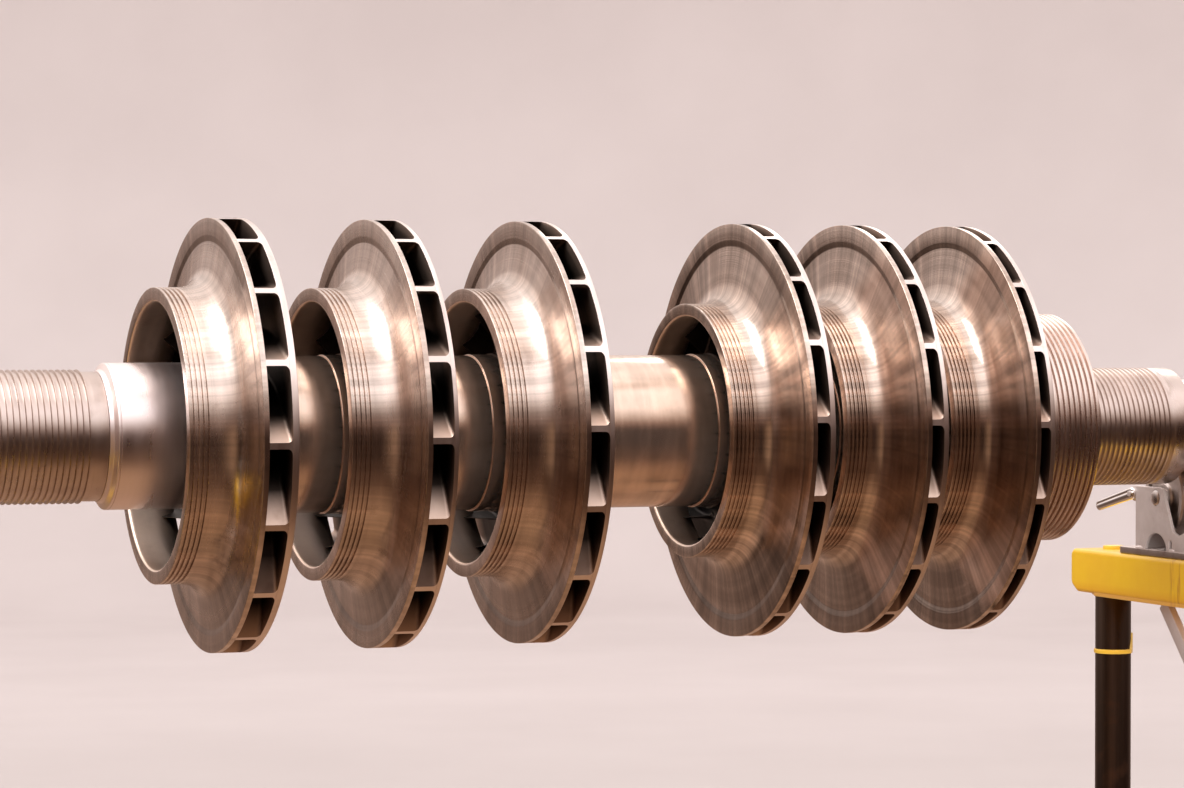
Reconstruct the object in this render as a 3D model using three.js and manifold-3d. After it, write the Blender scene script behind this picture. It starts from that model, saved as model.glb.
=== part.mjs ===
// Rotor of a multistage centrifugal compressor, lying on two roller stands.
// Millimetres, +X along the shaft towards the drive end, +Y to the back, +Z up.
// The origin is on the floor, under the middle of the rotor's length.

import * as THREE from "three";
import { mergeVertices } from "three/addons/utils/BufferGeometryUtils.js";
import Module from "manifold-3d";

const wasm = await Module();
wasm.setup();

// Overall
const AXIS_HEIGHT = 950;
const SHAFT_START = -520;
const SHAFT_END = 1360;
const MIDDLE = (SHAFT_START + SHAFT_END) / 2;
const SEAT_GAP = 0.3;

// Shaft radii
const CORE_R = 50;
const JOURNAL_R = 48;
const THRUST_SEAT_R = 38;
const COLLAR_SEAT_R = 40;
const STUB_R = 30;
const COUPLING_BIG_R = 42;
const COUPLING_SMALL_R = 36;
const COUPLING_THREAD_R = 27;

// Axial stations of the shaft, measured from the front of the first impeller's rim
const LEFT_JOURNAL_END = -240;
const THRUST_COLLAR_START = -418;
const THRUST_COLLAR_END = -390;
const STUB_END = -470;
const NUT_WIDTH = 22;
const RIGHT_JOURNAL_START = 1002;
const RIGHT_JOURNAL_END = 1190;
const TAPER_START = 1230;
const TAPER_END = 1318;

// Impellers
const BLADES = 17;
const OUTER_R = 200;
const BLADE_THICK = 4.5;
const BLADE_TIP_R = 198.2;
const BLADE_ANGLE = THREE.MathUtils.degToRad(48);
const COVER_RIM = 5;
const BALANCE_RING_R = 184;
const BEVEL_R = 178;
const FACE_ABOVE_LIP = 15;
const FACE_RISE = 3.2;
const RIM_RECESS = 0.8;
const FILLET_START = -18;
const FILLET_LENGTH = 9;
const FILLET_RISE = 5;
const COVER_DISH = 2.8;
const COVER_KNEE = -13;
const KNEE_RISE = 5;
const HUB_FRONT = -22;
const HUB_BACK = 9;
const HUB_FALL = 0.9;
const HUB_SWEEP = 1.15;
const HUB_STEPS = 3;
const BLADE_ROOT_DEPTH = 1.5;
const BLADE_CLEARANCE = 1.4;
const RIM_CLEARANCE = 0.4;
const DISC_NECK = 8;
const DISC_NECK_FLARE = 6;
const IMPELLERS = [
  { x: 0, outlet: 21, disc: 6, lip: 50, lipR: 136, boreR: 123, hubR: 68, phase: -1.3 },
  { x: 149.2, outlet: 20, disc: 4, lip: 50, lipR: 136, boreR: 123, hubR: 75, phase: -0.4 },
  { x: 298.4, outlet: 18.2, disc: 4.4, lip: 50, lipR: 136, boreR: 123, hubR: 75, phase: 2.3 },
  { x: 520.8, outlet: 13.2, disc: 5, lip: 46, lipR: 122.5, boreR: 110.5, hubR: 75, phase: 4.1 },
  { x: 637.7, outlet: 12.3, disc: 4.8, lip: 46, lipR: 122.5, boreR: 110.5, hubR: 75, phase: 3.1 },
  { x: 751.2, outlet: 10.4, disc: 4.6, lip: 46, lipR: 122.5, boreR: 110.5, hubR: 75, phase: 2.2 },
];

// Sleeves and drum
const NOSE_R = 67;
const NOSE_START = -103.5;
const NOSE_SHOULDER = 9;
const LABYRINTH_R = 61;
const LABYRINTH_NECK_R = 59;
const LABYRINTH_NECK = 15;
const SPACER_R = 73;
const DRUM_START = 786;
const DRUM_END = 866.5;
const DRUM_R = 113.5;
const DRUM_NECK_R = 88;
const RIGHT_LABYRINTH_R = 59.3;
const THRUST_COLLAR_R = 88;
const LOCKNUT_R = 54;
const COUPLING_NUT_R = 40;

// Roller stands, measured from the axis: rollers and the head that carries them
const LEFT_STAND_X = -280;
const RIGHT_STAND_X = 1044;
const ROLLER_R = 40;
const ROLLER_WIDTH = 34;
const ROLLER_Y = 46;
const ROLLER_SEAT_GAP = 0.4;
const AXLE_R = 9;
const AXLE_END = 2;
const CHEEK_INNER = 22;
const CHEEK_THICK = 4;
const CHEEK_HALF = 88;
const CHEEK_TOP = -64.6;
const CHEEK_LEDGE = -113;
const CHEEK_EAR_INNER = 31;
const CHEEK_DIP = 11;
const ARCH_Y = 46;
const ARCH_HALF = 21.5;
const ARCH_HEIGHT = 19;
const NOTCH_Y = 16;
const NOTCH_HALF = 3;
const NOTCH_HEIGHT = 12;
const END_WALL_TOP = -103;
const END_WALL_THICK = 3;
const PLATE_TOP = -129;
const PLATE_THICK = 7;
const PLATE_HALF = 120;
const PLATE_MARGIN = 4;

// Beam, posts, feet and brace
const BEAM_TOP = PLATE_TOP - PLATE_THICK - SEAT_GAP;
const BEAM_HEIGHT = 46;
const BEAM_LENGTH = 430;
const BEAM_WIDTH = 68;
const BEAM_ROUND = 7;
const BEAM_SHOULDER = 2.1;
const BEAM_END_RISE = 11;
const BEAM_END_CUT = 13;
const BEAM_END_CORNER = [1.95, 7.15];
const POST_Y = 182;
const POST_R = 19;
const POST_CAP_R = 11;
const POST_CAP_HEIGHT = 4;
const FOOT_LENGTH = 480;
const FOOT_SIZE = 50;
const TIE_SIZE = 40;
const MID_TIE_Z = -485;
const MID_TIE_WIDTH = 22;
const MID_TIE_HEIGHT = 30;
const BRACE_TOP_Y = 75;
const BRACE_FOOT_Z = -445;
const BRACE_WIDTH = 16;
const BRACE_THICK = 8;
const WELD_DEPTH = 2;

// Levers
const LEVER_X = -26;
const LEVER_Y = 96;
const LEVER_Z = -73;
const LEVER_LENGTH = 70;
const LEVER_ROOT_R = 6.5;
const LEVER_TIP_R = 5.5;
const LEVER_WIDTH = 6;
const LEVER_SLOPE = THREE.MathUtils.degToRad(12.7);
const LEVER_PIN_R = 3;
const LEVER_PIN_SIDES = 10;
const LUG_HALF = 9;
const LUG_THICK = 3.5;

// Facets round the turned parts, the rollers, the posts, the axles and the small arcs
const SEGMENTS = 26;
const ROLLER_SEGMENTS = 24;
const POST_SEGMENTS = 16;
const AXLE_SEGMENTS = 12;
const ARC_STEPS = 6;

// Two points of the mesh closer than this are one
const WELD_TOLERANCE = 1e-4;

function material(color, roughness, metalness) {
  return new THREE.MeshStandardMaterial({ color, roughness, metalness });
}

const turnedSteel = material(0xb09a90, 0.3, 1.0);
const brightSteel = material(0xc9bcb6, 0.25, 1.0);
const drumSteel = material(0x9a8578, 0.35, 1.0);
const bracketSteel = material(0xa8a3a0, 0.45, 1.0);
const rollerSteel = material(0xd8c8bc, 0.35, 0.8);
const postSteel = material(0x6a5548, 0.4, 0.9);
const yellowPaint = material(0xf2cf1c, 0.45, 0.0);

const part = new THREE.Group();
// Inside this group X starts at the front of the first impeller's rim, on the axis.
const onAxis = new THREE.Group();
onAxis.position.set(-MIDDLE, 0, AXIS_HEIGHT);
part.add(onAxis);

function addMesh(parent, name, geometry, finish) {
  const mesh = new THREE.Mesh(geometry, finish);
  mesh.name = name;
  parent.add(mesh);
  return mesh;
}

// Turns a profile of [axial, radius] points about the X axis.
function turned(profile, segments = SEGMENTS) {
  const points = profile.map(([x, r]) => new THREE.Vector2(r, x));
  const closesOnAxis = points[0].x === 0 && points[points.length - 1].x === 0;
  if (!closesOnAxis) points.push(points[0].clone());
  let area = 0;
  for (let i = 0; i < points.length - 1; i++) {
    area += points[i].x * points[i + 1].y - points[i + 1].x * points[i].y;
  }
  if (area < 0) points.reverse();
  const geometry = new THREE.LatheGeometry(points, segments);
  geometry.rotateZ(-Math.PI / 2);
  return geometry;
}

function tube(x0, x1, outerR, innerR, segments = SEGMENTS) {
  return turned([[x0, innerR], [x0, outerR], [x1, outerR], [x1, innerR]], segments);
}

// A cylinder that stands on Z, with its middle at height z.
function upright(radius, height, y, z) {
  const geometry = new THREE.CylinderGeometry(radius, radius, height, POST_SEGMENTS);
  geometry.rotateX(Math.PI / 2);
  geometry.translate(0, y, z);
  return geometry;
}

function toSolid(geometry) {
  const bare = geometry.clone();
  bare.deleteAttribute("normal");
  bare.deleteAttribute("uv");
  const merged = mergeVertices(bare, WELD_TOLERANCE);
  const triVerts = merged.index ? merged.index.array : [...Array(merged.attributes.position.count).keys()];
  return new wasm.Manifold(new wasm.Mesh({
    numProp: 3,
    vertProperties: new Float32Array(merged.attributes.position.array),
    triVerts: new Uint32Array(triVerts),
  }));
}

function toGeometry(solid) {
  const mesh = solid.getMesh();
  const geometry = new THREE.BufferGeometry();
  geometry.setAttribute("position", new THREE.BufferAttribute(mesh.vertProperties, 3));
  geometry.setIndex(new THREE.BufferAttribute(mesh.triVerts, 1));
  geometry.computeVertexNormals();
  return geometry;
}

function united(geometries) {
  return toGeometry(geometries.map(toSolid).reduce((sum, solid) => sum.add(solid)));
}

function cutAway(geometry, tool) {
  return toGeometry(toSolid(geometry).subtract(toSolid(tool)));
}

function box(sizeX, sizeY, sizeZ, x, y, z) {
  const geometry = new THREE.BoxGeometry(sizeX, sizeY, sizeZ);
  geometry.translate(x, y, z);
  return geometry;
}

// A cylinder along X between two stations.
function rod(x0, x1, radius, y, z, segments = AXLE_SEGMENTS) {
  const geometry = new THREE.CylinderGeometry(radius, radius, x1 - x0, segments);
  geometry.rotateZ(-Math.PI / 2);
  geometry.translate((x0 + x1) / 2, y, z);
  return geometry;
}

function arcPoints(cx, cy, rx, ry, from, to, steps) {
  const points = [];
  for (let i = 0; i <= steps; i++) {
    const a = from + ((to - from) * i) / steps;
    points.push(new THREE.Vector2(cx + rx * Math.cos(a), cy + ry * Math.sin(a)));
  }
  return points;
}

// Extrudes an outline of the YZ plane along X between two stations.
function plateAcross(shape, x0, x1) {
  const geometry = new THREE.ExtrudeGeometry(shape, { depth: x1 - x0, bevelEnabled: false });
  const toWorld = new THREE.Matrix4().set(0, 0, 1, x0, 1, 0, 0, 0, 0, 1, 0, 0, 0, 0, 0, 1);
  geometry.applyMatrix4(toWorld);
  return geometry;
}

// Where along X a curve given as [axial, radius] points has the radius r.
function between(table, r) {
  for (let i = 0; i < table.length - 1; i++) {
    const [xa, ra] = table[i];
    const [xb, rb] = table[i + 1];
    if (r <= Math.max(ra, rb) && r >= Math.min(ra, rb)) return xa + ((xb - xa) * (r - ra)) / (rb - ra);
  }
  return table[table.length - 1][0];
}

// The hub's front surface, from the rim inwards to the nose of the hub.
function hubCurve(imp) {
  const front = COVER_RIM + imp.outlet;
  const points = [[front, OUTER_R]];
  for (let i = 1; i <= HUB_STEPS; i++) {
    const angle = (i * Math.PI) / 2 / HUB_STEPS;
    const r = OUTER_R - (OUTER_R - imp.hubR) * Math.sin(angle) ** HUB_FALL;
    const x = front - (front - HUB_FRONT) * (1 - Math.cos(angle)) ** HUB_SWEEP;
    points.push([x, r]);
  }
  return points;
}

// Where the cover's flat face ends and its fillet to the eye begins.
function faceRadius(imp) {
  return imp.lipR + FACE_ABOVE_LIP;
}

// The inner surface of the cover, from the rim inwards to the lip of the eye.
function coverInner(imp) {
  return [
    [COVER_RIM, OUTER_R],
    [COVER_RIM - COVER_DISH, faceRadius(imp)],
    [COVER_KNEE, imp.boreR + KNEE_RISE],
    [-imp.lip, imp.boreR],
  ];
}

function coverOuter(imp) {
  return [
    [-imp.lip, imp.lipR],
    [FILLET_START, imp.lipR],
    [FILLET_START + FILLET_LENGTH, imp.lipR + FILLET_RISE],
    [-FACE_RISE, faceRadius(imp)],
    [RIM_RECESS, BEVEL_R],
    [0, BALANCE_RING_R],
    [0, OUTER_R],
  ];
}

function coverGeometry(imp) {
  return turned([...coverOuter(imp), ...coverInner(imp)]);
}

// One blade as a loft of four-cornered sections along a backswept spiral.
function bladeGeometry(imp, turn) {
  const hub = hubCurve(imp);
  const cover = coverInner(imp);
  const radii = [BLADE_TIP_R, cover[1][1], cover[2][1]];
  const stations = radii.length;
  const corners = [];
  for (const r of radii) {
    const angle = turn + Math.tan(BLADE_ANGLE) * Math.log(BLADE_TIP_R / r);
    const half = BLADE_THICK / 2 / Math.cos(BLADE_ANGLE) / r;
    const back = between(hub, r) + BLADE_ROOT_DEPTH;
    const clear = r > BEVEL_R ? RIM_CLEARANCE : BLADE_CLEARANCE;
    const front = between(cover, r) + clear;
    const low = angle - half;
    const high = angle + half;
    for (const [x, a] of [[back, low], [back, high], [front, high], [front, low]]) {
      corners.push(x, -r * Math.cos(a), r * Math.sin(a));
    }
  }
  const faces = [];
  for (let i = 0; i < stations - 1; i++) {
    for (let k = 0; k < 4; k++) {
      const a = i * 4 + k;
      const b = i * 4 + ((k + 1) % 4);
      faces.push(a, a + 4, b, b, a + 4, b + 4);
    }
  }
  const last = (stations - 1) * 4;
  faces.push(0, 1, 2, 0, 2, 3, last, last + 2, last + 1, last, last + 3, last + 2);
  const geometry = new THREE.BufferGeometry();
  geometry.setAttribute("position", new THREE.Float32BufferAttribute(corners, 3));
  geometry.setIndex(faces);
  return geometry;
}

function signedVolume(geometry) {
  const p = geometry.attributes.position;
  const index = geometry.index;
  const a = new THREE.Vector3();
  const b = new THREE.Vector3();
  const c = new THREE.Vector3();
  let sum = 0;
  for (let i = 0; i < index.count; i += 3) {
    a.fromBufferAttribute(p, index.getX(i));
    b.fromBufferAttribute(p, index.getX(i + 1));
    c.fromBufferAttribute(p, index.getX(i + 2));
    sum += a.dot(b.cross(c)) / 6;
  }
  return sum;
}

function outward(geometry) {
  if (signedVolume(geometry) < 0) geometry.index.array.reverse();
  return geometry;
}

function discGeometry(imp) {
  const back = COVER_RIM + imp.outlet + imp.disc;
  const bore = CORE_R + SEAT_GAP;
  const body = turned([
    ...hubCurve(imp),
    [HUB_FRONT, bore],
    [back + HUB_BACK, bore],
    [back + HUB_BACK, imp.hubR + DISC_NECK],
    [back, imp.hubR + DISC_NECK + DISC_NECK_FLARE],
    [back, OUTER_R],
  ]);
  const blades = [];
  for (let i = 0; i < BLADES; i++) {
    const turn = THREE.MathUtils.degToRad(imp.phase) + (i * 2 * Math.PI) / BLADES;
    blades.push(outward(bladeGeometry(imp, turn)));
  }
  return united([body, ...blades]);
}

function addImpellers() {
  IMPELLERS.forEach((imp, i) => {
    const disc = addMesh(onAxis, `impeller_${i + 1}_disc`, discGeometry(imp), turnedSteel);
    const cover = addMesh(onAxis, `impeller_${i + 1}_cover`, coverGeometry(imp), brightSteel);
    disc.position.x = imp.x;
    cover.position.x = imp.x;
  });
}

function addShaft() {
  const profile = [
    [SHAFT_START, 0],
    [SHAFT_START, STUB_R],
    [STUB_END, STUB_R],
    [STUB_END, THRUST_SEAT_R],
    [THRUST_COLLAR_START, THRUST_SEAT_R],
    [THRUST_COLLAR_START, COLLAR_SEAT_R],
    [THRUST_COLLAR_END, COLLAR_SEAT_R],
    [THRUST_COLLAR_END, JOURNAL_R],
    [LEFT_JOURNAL_END, JOURNAL_R],
    [LEFT_JOURNAL_END, CORE_R],
    [RIGHT_JOURNAL_START, CORE_R],
    [RIGHT_JOURNAL_START, JOURNAL_R],
    [RIGHT_JOURNAL_END, JOURNAL_R],
    [RIGHT_JOURNAL_END, COUPLING_BIG_R],
    [TAPER_START, COUPLING_BIG_R],
    [TAPER_END, COUPLING_SMALL_R],
    [TAPER_END, COUPLING_THREAD_R],
    [SHAFT_END, COUPLING_THREAD_R],
    [SHAFT_END, 0],
  ];
  addMesh(onAxis, "shaft", turned(profile), brightSteel);
}

function addSleeves() {
  const bore = CORE_R + SEAT_GAP;
  const neckStart = NOSE_START - LABYRINTH_NECK;
  const leftLabyrinth = turned([
    [LEFT_JOURNAL_END + SEAT_GAP, bore],
    [LEFT_JOURNAL_END + SEAT_GAP, LABYRINTH_R],
    [neckStart, LABYRINTH_R],
    [neckStart, LABYRINTH_NECK_R],
    [NOSE_START - SEAT_GAP, LABYRINTH_NECK_R],
    [NOSE_START - SEAT_GAP, bore],
  ]);
  addMesh(onAxis, "left_labyrinth_sleeve", leftLabyrinth, turnedSteel);

  const nose = turned([
    [NOSE_START, bore],
    [NOSE_START, LABYRINTH_NECK_R],
    [NOSE_START + NOSE_SHOULDER, NOSE_R],
    [HUB_FRONT - SEAT_GAP, NOSE_R],
    [HUB_FRONT - SEAT_GAP, bore],
  ]);
  addMesh(onAxis, "nose_sleeve", nose, brightSteel);

  for (let i = 0; i < IMPELLERS.length - 1; i++) {
    const imp = IMPELLERS[i];
    const next = IMPELLERS[i + 1];
    const start = imp.x + COVER_RIM + imp.outlet + imp.disc + HUB_BACK + SEAT_GAP;
    const end = next.x + HUB_FRONT - SEAT_GAP;
    const spacer = tube(start, end, SPACER_R, bore);
    addMesh(onAxis, `spacer_sleeve_${i + 1}_${i + 2}`, spacer, brightSteel);
  }
}

function addDrum() {
  const bore = CORE_R + SEAT_GAP;
  const last = IMPELLERS[IMPELLERS.length - 1];
  const start = last.x + COVER_RIM + last.outlet + last.disc + HUB_BACK + SEAT_GAP;
  const drum = turned([
    [start, bore],
    [start, DRUM_NECK_R],
    [DRUM_START, DRUM_NECK_R],
    [DRUM_START, DRUM_R],
    [DRUM_END, DRUM_R],
    [DRUM_END, bore],
  ]);
  addMesh(onAxis, "balance_drum", drum, drumSteel);

  const labyrinth = tube(DRUM_END + SEAT_GAP, RIGHT_JOURNAL_START, RIGHT_LABYRINTH_R, bore);
  addMesh(onAxis, "right_labyrinth_sleeve", labyrinth, turnedSteel);
}

function addEndFittings() {
  const seat = SEAT_GAP;
  const collarBore = COLLAR_SEAT_R + seat;
  const collar = tube(THRUST_COLLAR_START, THRUST_COLLAR_END - seat, THRUST_COLLAR_R, collarBore);
  addMesh(onAxis, "thrust_collar", collar, brightSteel);
  const lockStart = THRUST_COLLAR_START - seat - NUT_WIDTH;
  const locknut = tube(lockStart, THRUST_COLLAR_START - seat, LOCKNUT_R, THRUST_SEAT_R + seat);
  addMesh(onAxis, "thrust_locknut", locknut, drumSteel);
  const nutStart = TAPER_END + seat;
  const nut = tube(nutStart, nutStart + NUT_WIDTH, COUPLING_NUT_R, COUPLING_THREAD_R + seat);
  addMesh(onAxis, "coupling_nut", nut, drumSteel);
}

// One cheek of a roller head: two raised ears and a low middle, with an arch and a notch under each ear.
function cheekShape() {
  const base = PLATE_TOP - WELD_DEPTH;
  const notchTop = PLATE_TOP + NOTCH_HEIGHT;
  const rightSide = [
    [CHEEK_HALF, base],
    [CHEEK_HALF, CHEEK_TOP],
    [CHEEK_EAR_INNER, CHEEK_TOP],
    [CHEEK_DIP, CHEEK_LEDGE + CHEEK_DIP / 2],
    [CHEEK_DIP / 2, CHEEK_LEDGE],
  ].map(([y, z]) => new THREE.Vector2(y, z));
  const leftSide = rightSide.map((p) => new THREE.Vector2(-p.x, p.y)).reverse();
  const arch = (side) => arcPoints(side * ARCH_Y, base, ARCH_HALF, ARCH_HEIGHT, Math.PI, 0, ARC_STEPS);
  const notch = (side) => [
    [side * NOTCH_Y - NOTCH_HALF, base],
    [side * NOTCH_Y - NOTCH_HALF, notchTop],
    [side * NOTCH_Y + NOTCH_HALF, notchTop],
    [side * NOTCH_Y + NOTCH_HALF, base],
  ].map(([y, z]) => new THREE.Vector2(y, z));
  return new THREE.Shape([...arch(-1), ...notch(-1), ...notch(1), ...arch(1), ...rightSide, ...leftSide]);
}

// The base plate, both cheeks, the axles across them and the lugs that carry the levers.
function headGeometry(rollerZ) {
  const outer = CHEEK_INNER + CHEEK_THICK;
  const lugEnd = LEVER_Y + LEVER_ROOT_R;
  const lugStart = CHEEK_HALF - LUG_HALF;
  const lugStartX = LEVER_X + LEVER_WIDTH / 2 + SEAT_GAP;
  const lugX = lugStartX + LUG_THICK / 2;
  const pieces = [
    box(2 * (outer + PLATE_MARGIN), 2 * PLATE_HALF, PLATE_THICK, 0, 0, PLATE_TOP - PLATE_THICK / 2),
    plateAcross(cheekShape(), -outer, -CHEEK_INNER),
    plateAcross(cheekShape(), CHEEK_INNER, outer),
  ];
  const wallBase = PLATE_TOP - WELD_DEPTH;
  const wallHeight = END_WALL_TOP - wallBase;
  const wallMiddle = wallBase + wallHeight / 2;
  for (const side of [-1, 1]) {
    const lugY = (side * (lugStart + lugEnd)) / 2;
    const wallY = side * (CHEEK_HALF - END_WALL_THICK / 2);
    pieces.push(box(2 * CHEEK_INNER + CHEEK_THICK, END_WALL_THICK, wallHeight, 0, wallY, wallMiddle));
    pieces.push(rod(-outer - AXLE_END, outer + AXLE_END, AXLE_R, side * ROLLER_Y, rollerZ));
    pieces.push(box(LUG_THICK, lugEnd - lugStart, 2 * LUG_HALF, lugX, lugY, LEVER_Z));
    const pinStart = LEVER_X - LEVER_WIDTH / 2 - 1;
    pieces.push(rod(pinStart, lugX, LEVER_PIN_R, side * LEVER_Y, LEVER_Z, LEVER_PIN_SIDES));
  }
  return united(pieces);
}

// A lever lies in the plane of the cheek, just past its edge, and slopes down and out from its pin.
function leverGeometry(side) {
  const shape = new THREE.Shape([
    ...arcPoints(0, 0, LEVER_ROOT_R, LEVER_ROOT_R, Math.PI / 2, 1.5 * Math.PI, ARC_STEPS),
    ...arcPoints(LEVER_LENGTH, 0, LEVER_TIP_R, LEVER_TIP_R, -Math.PI / 2, Math.PI / 2, ARC_STEPS),
  ]);
  const holeR = LEVER_PIN_R + SEAT_GAP;
  const holeSides = LEVER_PIN_SIDES + 2;
  const lastStep = (2 * Math.PI * (holeSides - 1)) / holeSides;
  shape.holes.push(new THREE.Path(arcPoints(0, 0, holeR, holeR, 0, lastStep, holeSides - 1)));
  const geometry = plateAcross(shape, -LEVER_WIDTH / 2, LEVER_WIDTH / 2);
  geometry.rotateX(-LEVER_SLOPE);
  if (side < 0) geometry.rotateZ(Math.PI);
  return geometry;
}

// The beam's outline across the rotor, with rounded shoulders and ends cut back at the bottom.
function beamGeometry() {
  const half = BEAM_LENGTH / 2;
  const low = BEAM_TOP - BEAM_HEIGHT;
  const [cornerIn, cornerRise] = BEAM_END_CORNER;
  const rightSide = [
    [half - BEAM_END_CUT, low],
    [half - cornerIn, low + cornerRise],
    [half, low + BEAM_END_RISE],
    [half, BEAM_TOP - BEAM_ROUND],
    [half - BEAM_SHOULDER, BEAM_TOP - BEAM_SHOULDER],
    [half - BEAM_ROUND, BEAM_TOP],
  ].map(([y, z]) => new THREE.Vector2(y, z));
  const leftSide = rightSide.map((p) => new THREE.Vector2(-p.x, p.y)).reverse();
  const body = plateAcross(new THREE.Shape([...rightSide, ...leftSide]), -BEAM_WIDTH / 2, BEAM_WIDTH / 2);
  const caps = [-1, 1].map((side) => upright(POST_CAP_R, 2 * POST_CAP_HEIGHT, side * POST_Y, BEAM_TOP));
  return united([body, ...caps]);
}

// Feet, ties, posts and the one diagonal brace, welded together.
function frameGeometry() {
  const postTop = BEAM_TOP - BEAM_HEIGHT - SEAT_GAP;
  const floor = -AXIS_HEIGHT;
  const postFoot = floor + FOOT_SIZE - WELD_DEPTH;
  const pieces = [];
  for (const side of [-1, 1]) {
    pieces.push(upright(POST_R, postTop - postFoot, side * POST_Y, (postTop + postFoot) / 2));
    pieces.push(box(FOOT_LENGTH, FOOT_SIZE, FOOT_SIZE, 0, side * POST_Y, floor + FOOT_SIZE / 2));
  }
  const tieLength = 2 * POST_Y - FOOT_SIZE + WELD_DEPTH;
  pieces.push(box(TIE_SIZE, tieLength, TIE_SIZE, 0, 0, floor + FOOT_SIZE - TIE_SIZE / 2));
  pieces.push(box(MID_TIE_WIDTH, 2 * POST_Y - POST_R, MID_TIE_HEIGHT, 0, 0, MID_TIE_Z));
  const top = new THREE.Vector2(BRACE_TOP_Y, postTop + WELD_DEPTH);
  const foot = new THREE.Vector2(-POST_Y + POST_R / 2, BRACE_FOOT_Z);
  const brace = new THREE.BoxGeometry(BRACE_THICK, BRACE_WIDTH, top.distanceTo(foot));
  brace.rotateX(-Math.atan2(top.x - foot.x, top.y - foot.y));
  brace.translate(0, (top.x + foot.x) / 2, (top.y + foot.y) / 2);
  const overPost = box(2 * BEAM_WIDTH, BEAM_LENGTH, BEAM_HEIGHT, 0, 0, postTop + BEAM_HEIGHT / 2);
  pieces.push(cutAway(brace, overPost));
  return united(pieces);
}

function rollerGeometry() {
  const half = ROLLER_WIDTH / 2;
  return tube(-half, half, ROLLER_R, AXLE_R + SEAT_GAP, ROLLER_SEGMENTS);
}

function addStand(side, standX) {
  const stand = new THREE.Group();
  stand.position.x = standX;
  onAxis.add(stand);
  const reach = JOURNAL_R + ROLLER_R + ROLLER_SEAT_GAP;
  const rollerZ = -Math.sqrt(reach ** 2 - ROLLER_Y ** 2);
  addMesh(stand, `${side}_stand_frame`, frameGeometry(), postSteel);
  addMesh(stand, `${side}_stand_beam`, beamGeometry(), yellowPaint);
  addMesh(stand, `${side}_roller_head`, headGeometry(rollerZ), bracketSteel);
  for (const [where, sign] of [["front", -1], ["back", 1]]) {
    const roller = addMesh(stand, `${side}_${where}_roller`, rollerGeometry(), rollerSteel);
    roller.position.set(0, sign * ROLLER_Y, rollerZ);
    const lever = addMesh(stand, `${side}_${where}_lever`, leverGeometry(sign), brightSteel);
    lever.position.set(LEVER_X, sign * LEVER_Y, LEVER_Z);
  }
}

addShaft();
addSleeves();
addImpellers();
addDrum();
addEndFittings();
addStand("left", LEFT_STAND_X);
addStand("right", RIGHT_STAND_X);

export default part;
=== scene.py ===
# Looks of a compressor rotor lying on two roller stands.
# Profiles are in millimetres, pairs of [axial, radius]; objects are in metres.
import math

import bpy
import bmesh
from mathutils import Euler, Matrix, Vector


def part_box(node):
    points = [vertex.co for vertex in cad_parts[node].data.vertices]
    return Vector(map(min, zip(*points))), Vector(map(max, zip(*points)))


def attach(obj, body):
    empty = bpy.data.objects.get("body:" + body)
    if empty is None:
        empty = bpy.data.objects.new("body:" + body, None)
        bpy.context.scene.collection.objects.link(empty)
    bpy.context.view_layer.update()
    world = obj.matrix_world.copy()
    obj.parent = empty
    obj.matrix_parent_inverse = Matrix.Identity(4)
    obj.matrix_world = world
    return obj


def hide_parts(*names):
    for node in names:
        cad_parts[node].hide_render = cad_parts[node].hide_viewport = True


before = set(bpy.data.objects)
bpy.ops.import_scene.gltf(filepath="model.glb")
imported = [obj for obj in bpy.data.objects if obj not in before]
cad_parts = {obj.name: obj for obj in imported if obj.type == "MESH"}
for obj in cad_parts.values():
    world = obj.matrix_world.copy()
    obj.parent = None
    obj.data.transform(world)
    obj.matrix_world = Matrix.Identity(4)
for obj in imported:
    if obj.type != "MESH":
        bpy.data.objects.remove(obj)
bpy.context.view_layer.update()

MM = 0.001
PHOTO_WIDTH = 1184

# The axis of the rotor and the plane of the first impeller's front rim
SHAFT_LOW, SHAFT_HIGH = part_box("shaft")
AXIS_Z = (SHAFT_LOW.z + SHAFT_HIGH.z) / 2
COVER_RIM = 5.0
OUTER_R = 200.0
RIM_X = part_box("impeller_1_cover")[1].x - COVER_RIM * MM

# Camera, fitted to the rim edges of all six impellers
CAMERA_PLACE = (-1.2546, -3.2176, 1.0408)
CAMERA_YAW = math.radians(-20.668)
CAMERA_PITCH = math.radians(-0.915)
FOCAL_PIXELS = 3595.3
SENSOR = 36.0

# Shaft
SHAFT_START = -520.0
SHAFT_END = 1360.0
CORE_R = 50.0
JOURNAL_R = 48.0
STUB_R = 30.0
STUB_END = -470.0
THRUST_SEAT_R = 38.0
COLLAR_SEAT_R = 40.0
COLLAR_START = -418.0
COLLAR_END = -390.0
COLLAR_R = 88.0
LOCKNUT_R = 54.0
LEFT_JOURNAL_END = -240.0
RIGHT_JOURNAL_START = 1002.0
RIGHT_JOURNAL_END = 1190.0
COUPLING_START = 1230.0
COUPLING_END = 1318.0
COUPLING_BIG_R = 42.0
COUPLING_SMALL_R = 36.0
COUPLING_THREAD_R = 27.0
COUPLING_NUT_R = 40.0
NUT_LENGTH = 22.0
CENTRE_HOLE_R = 4.0
CENTRE_HOLE_DEPTH = 8.0
SEAT = 0.3

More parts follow.
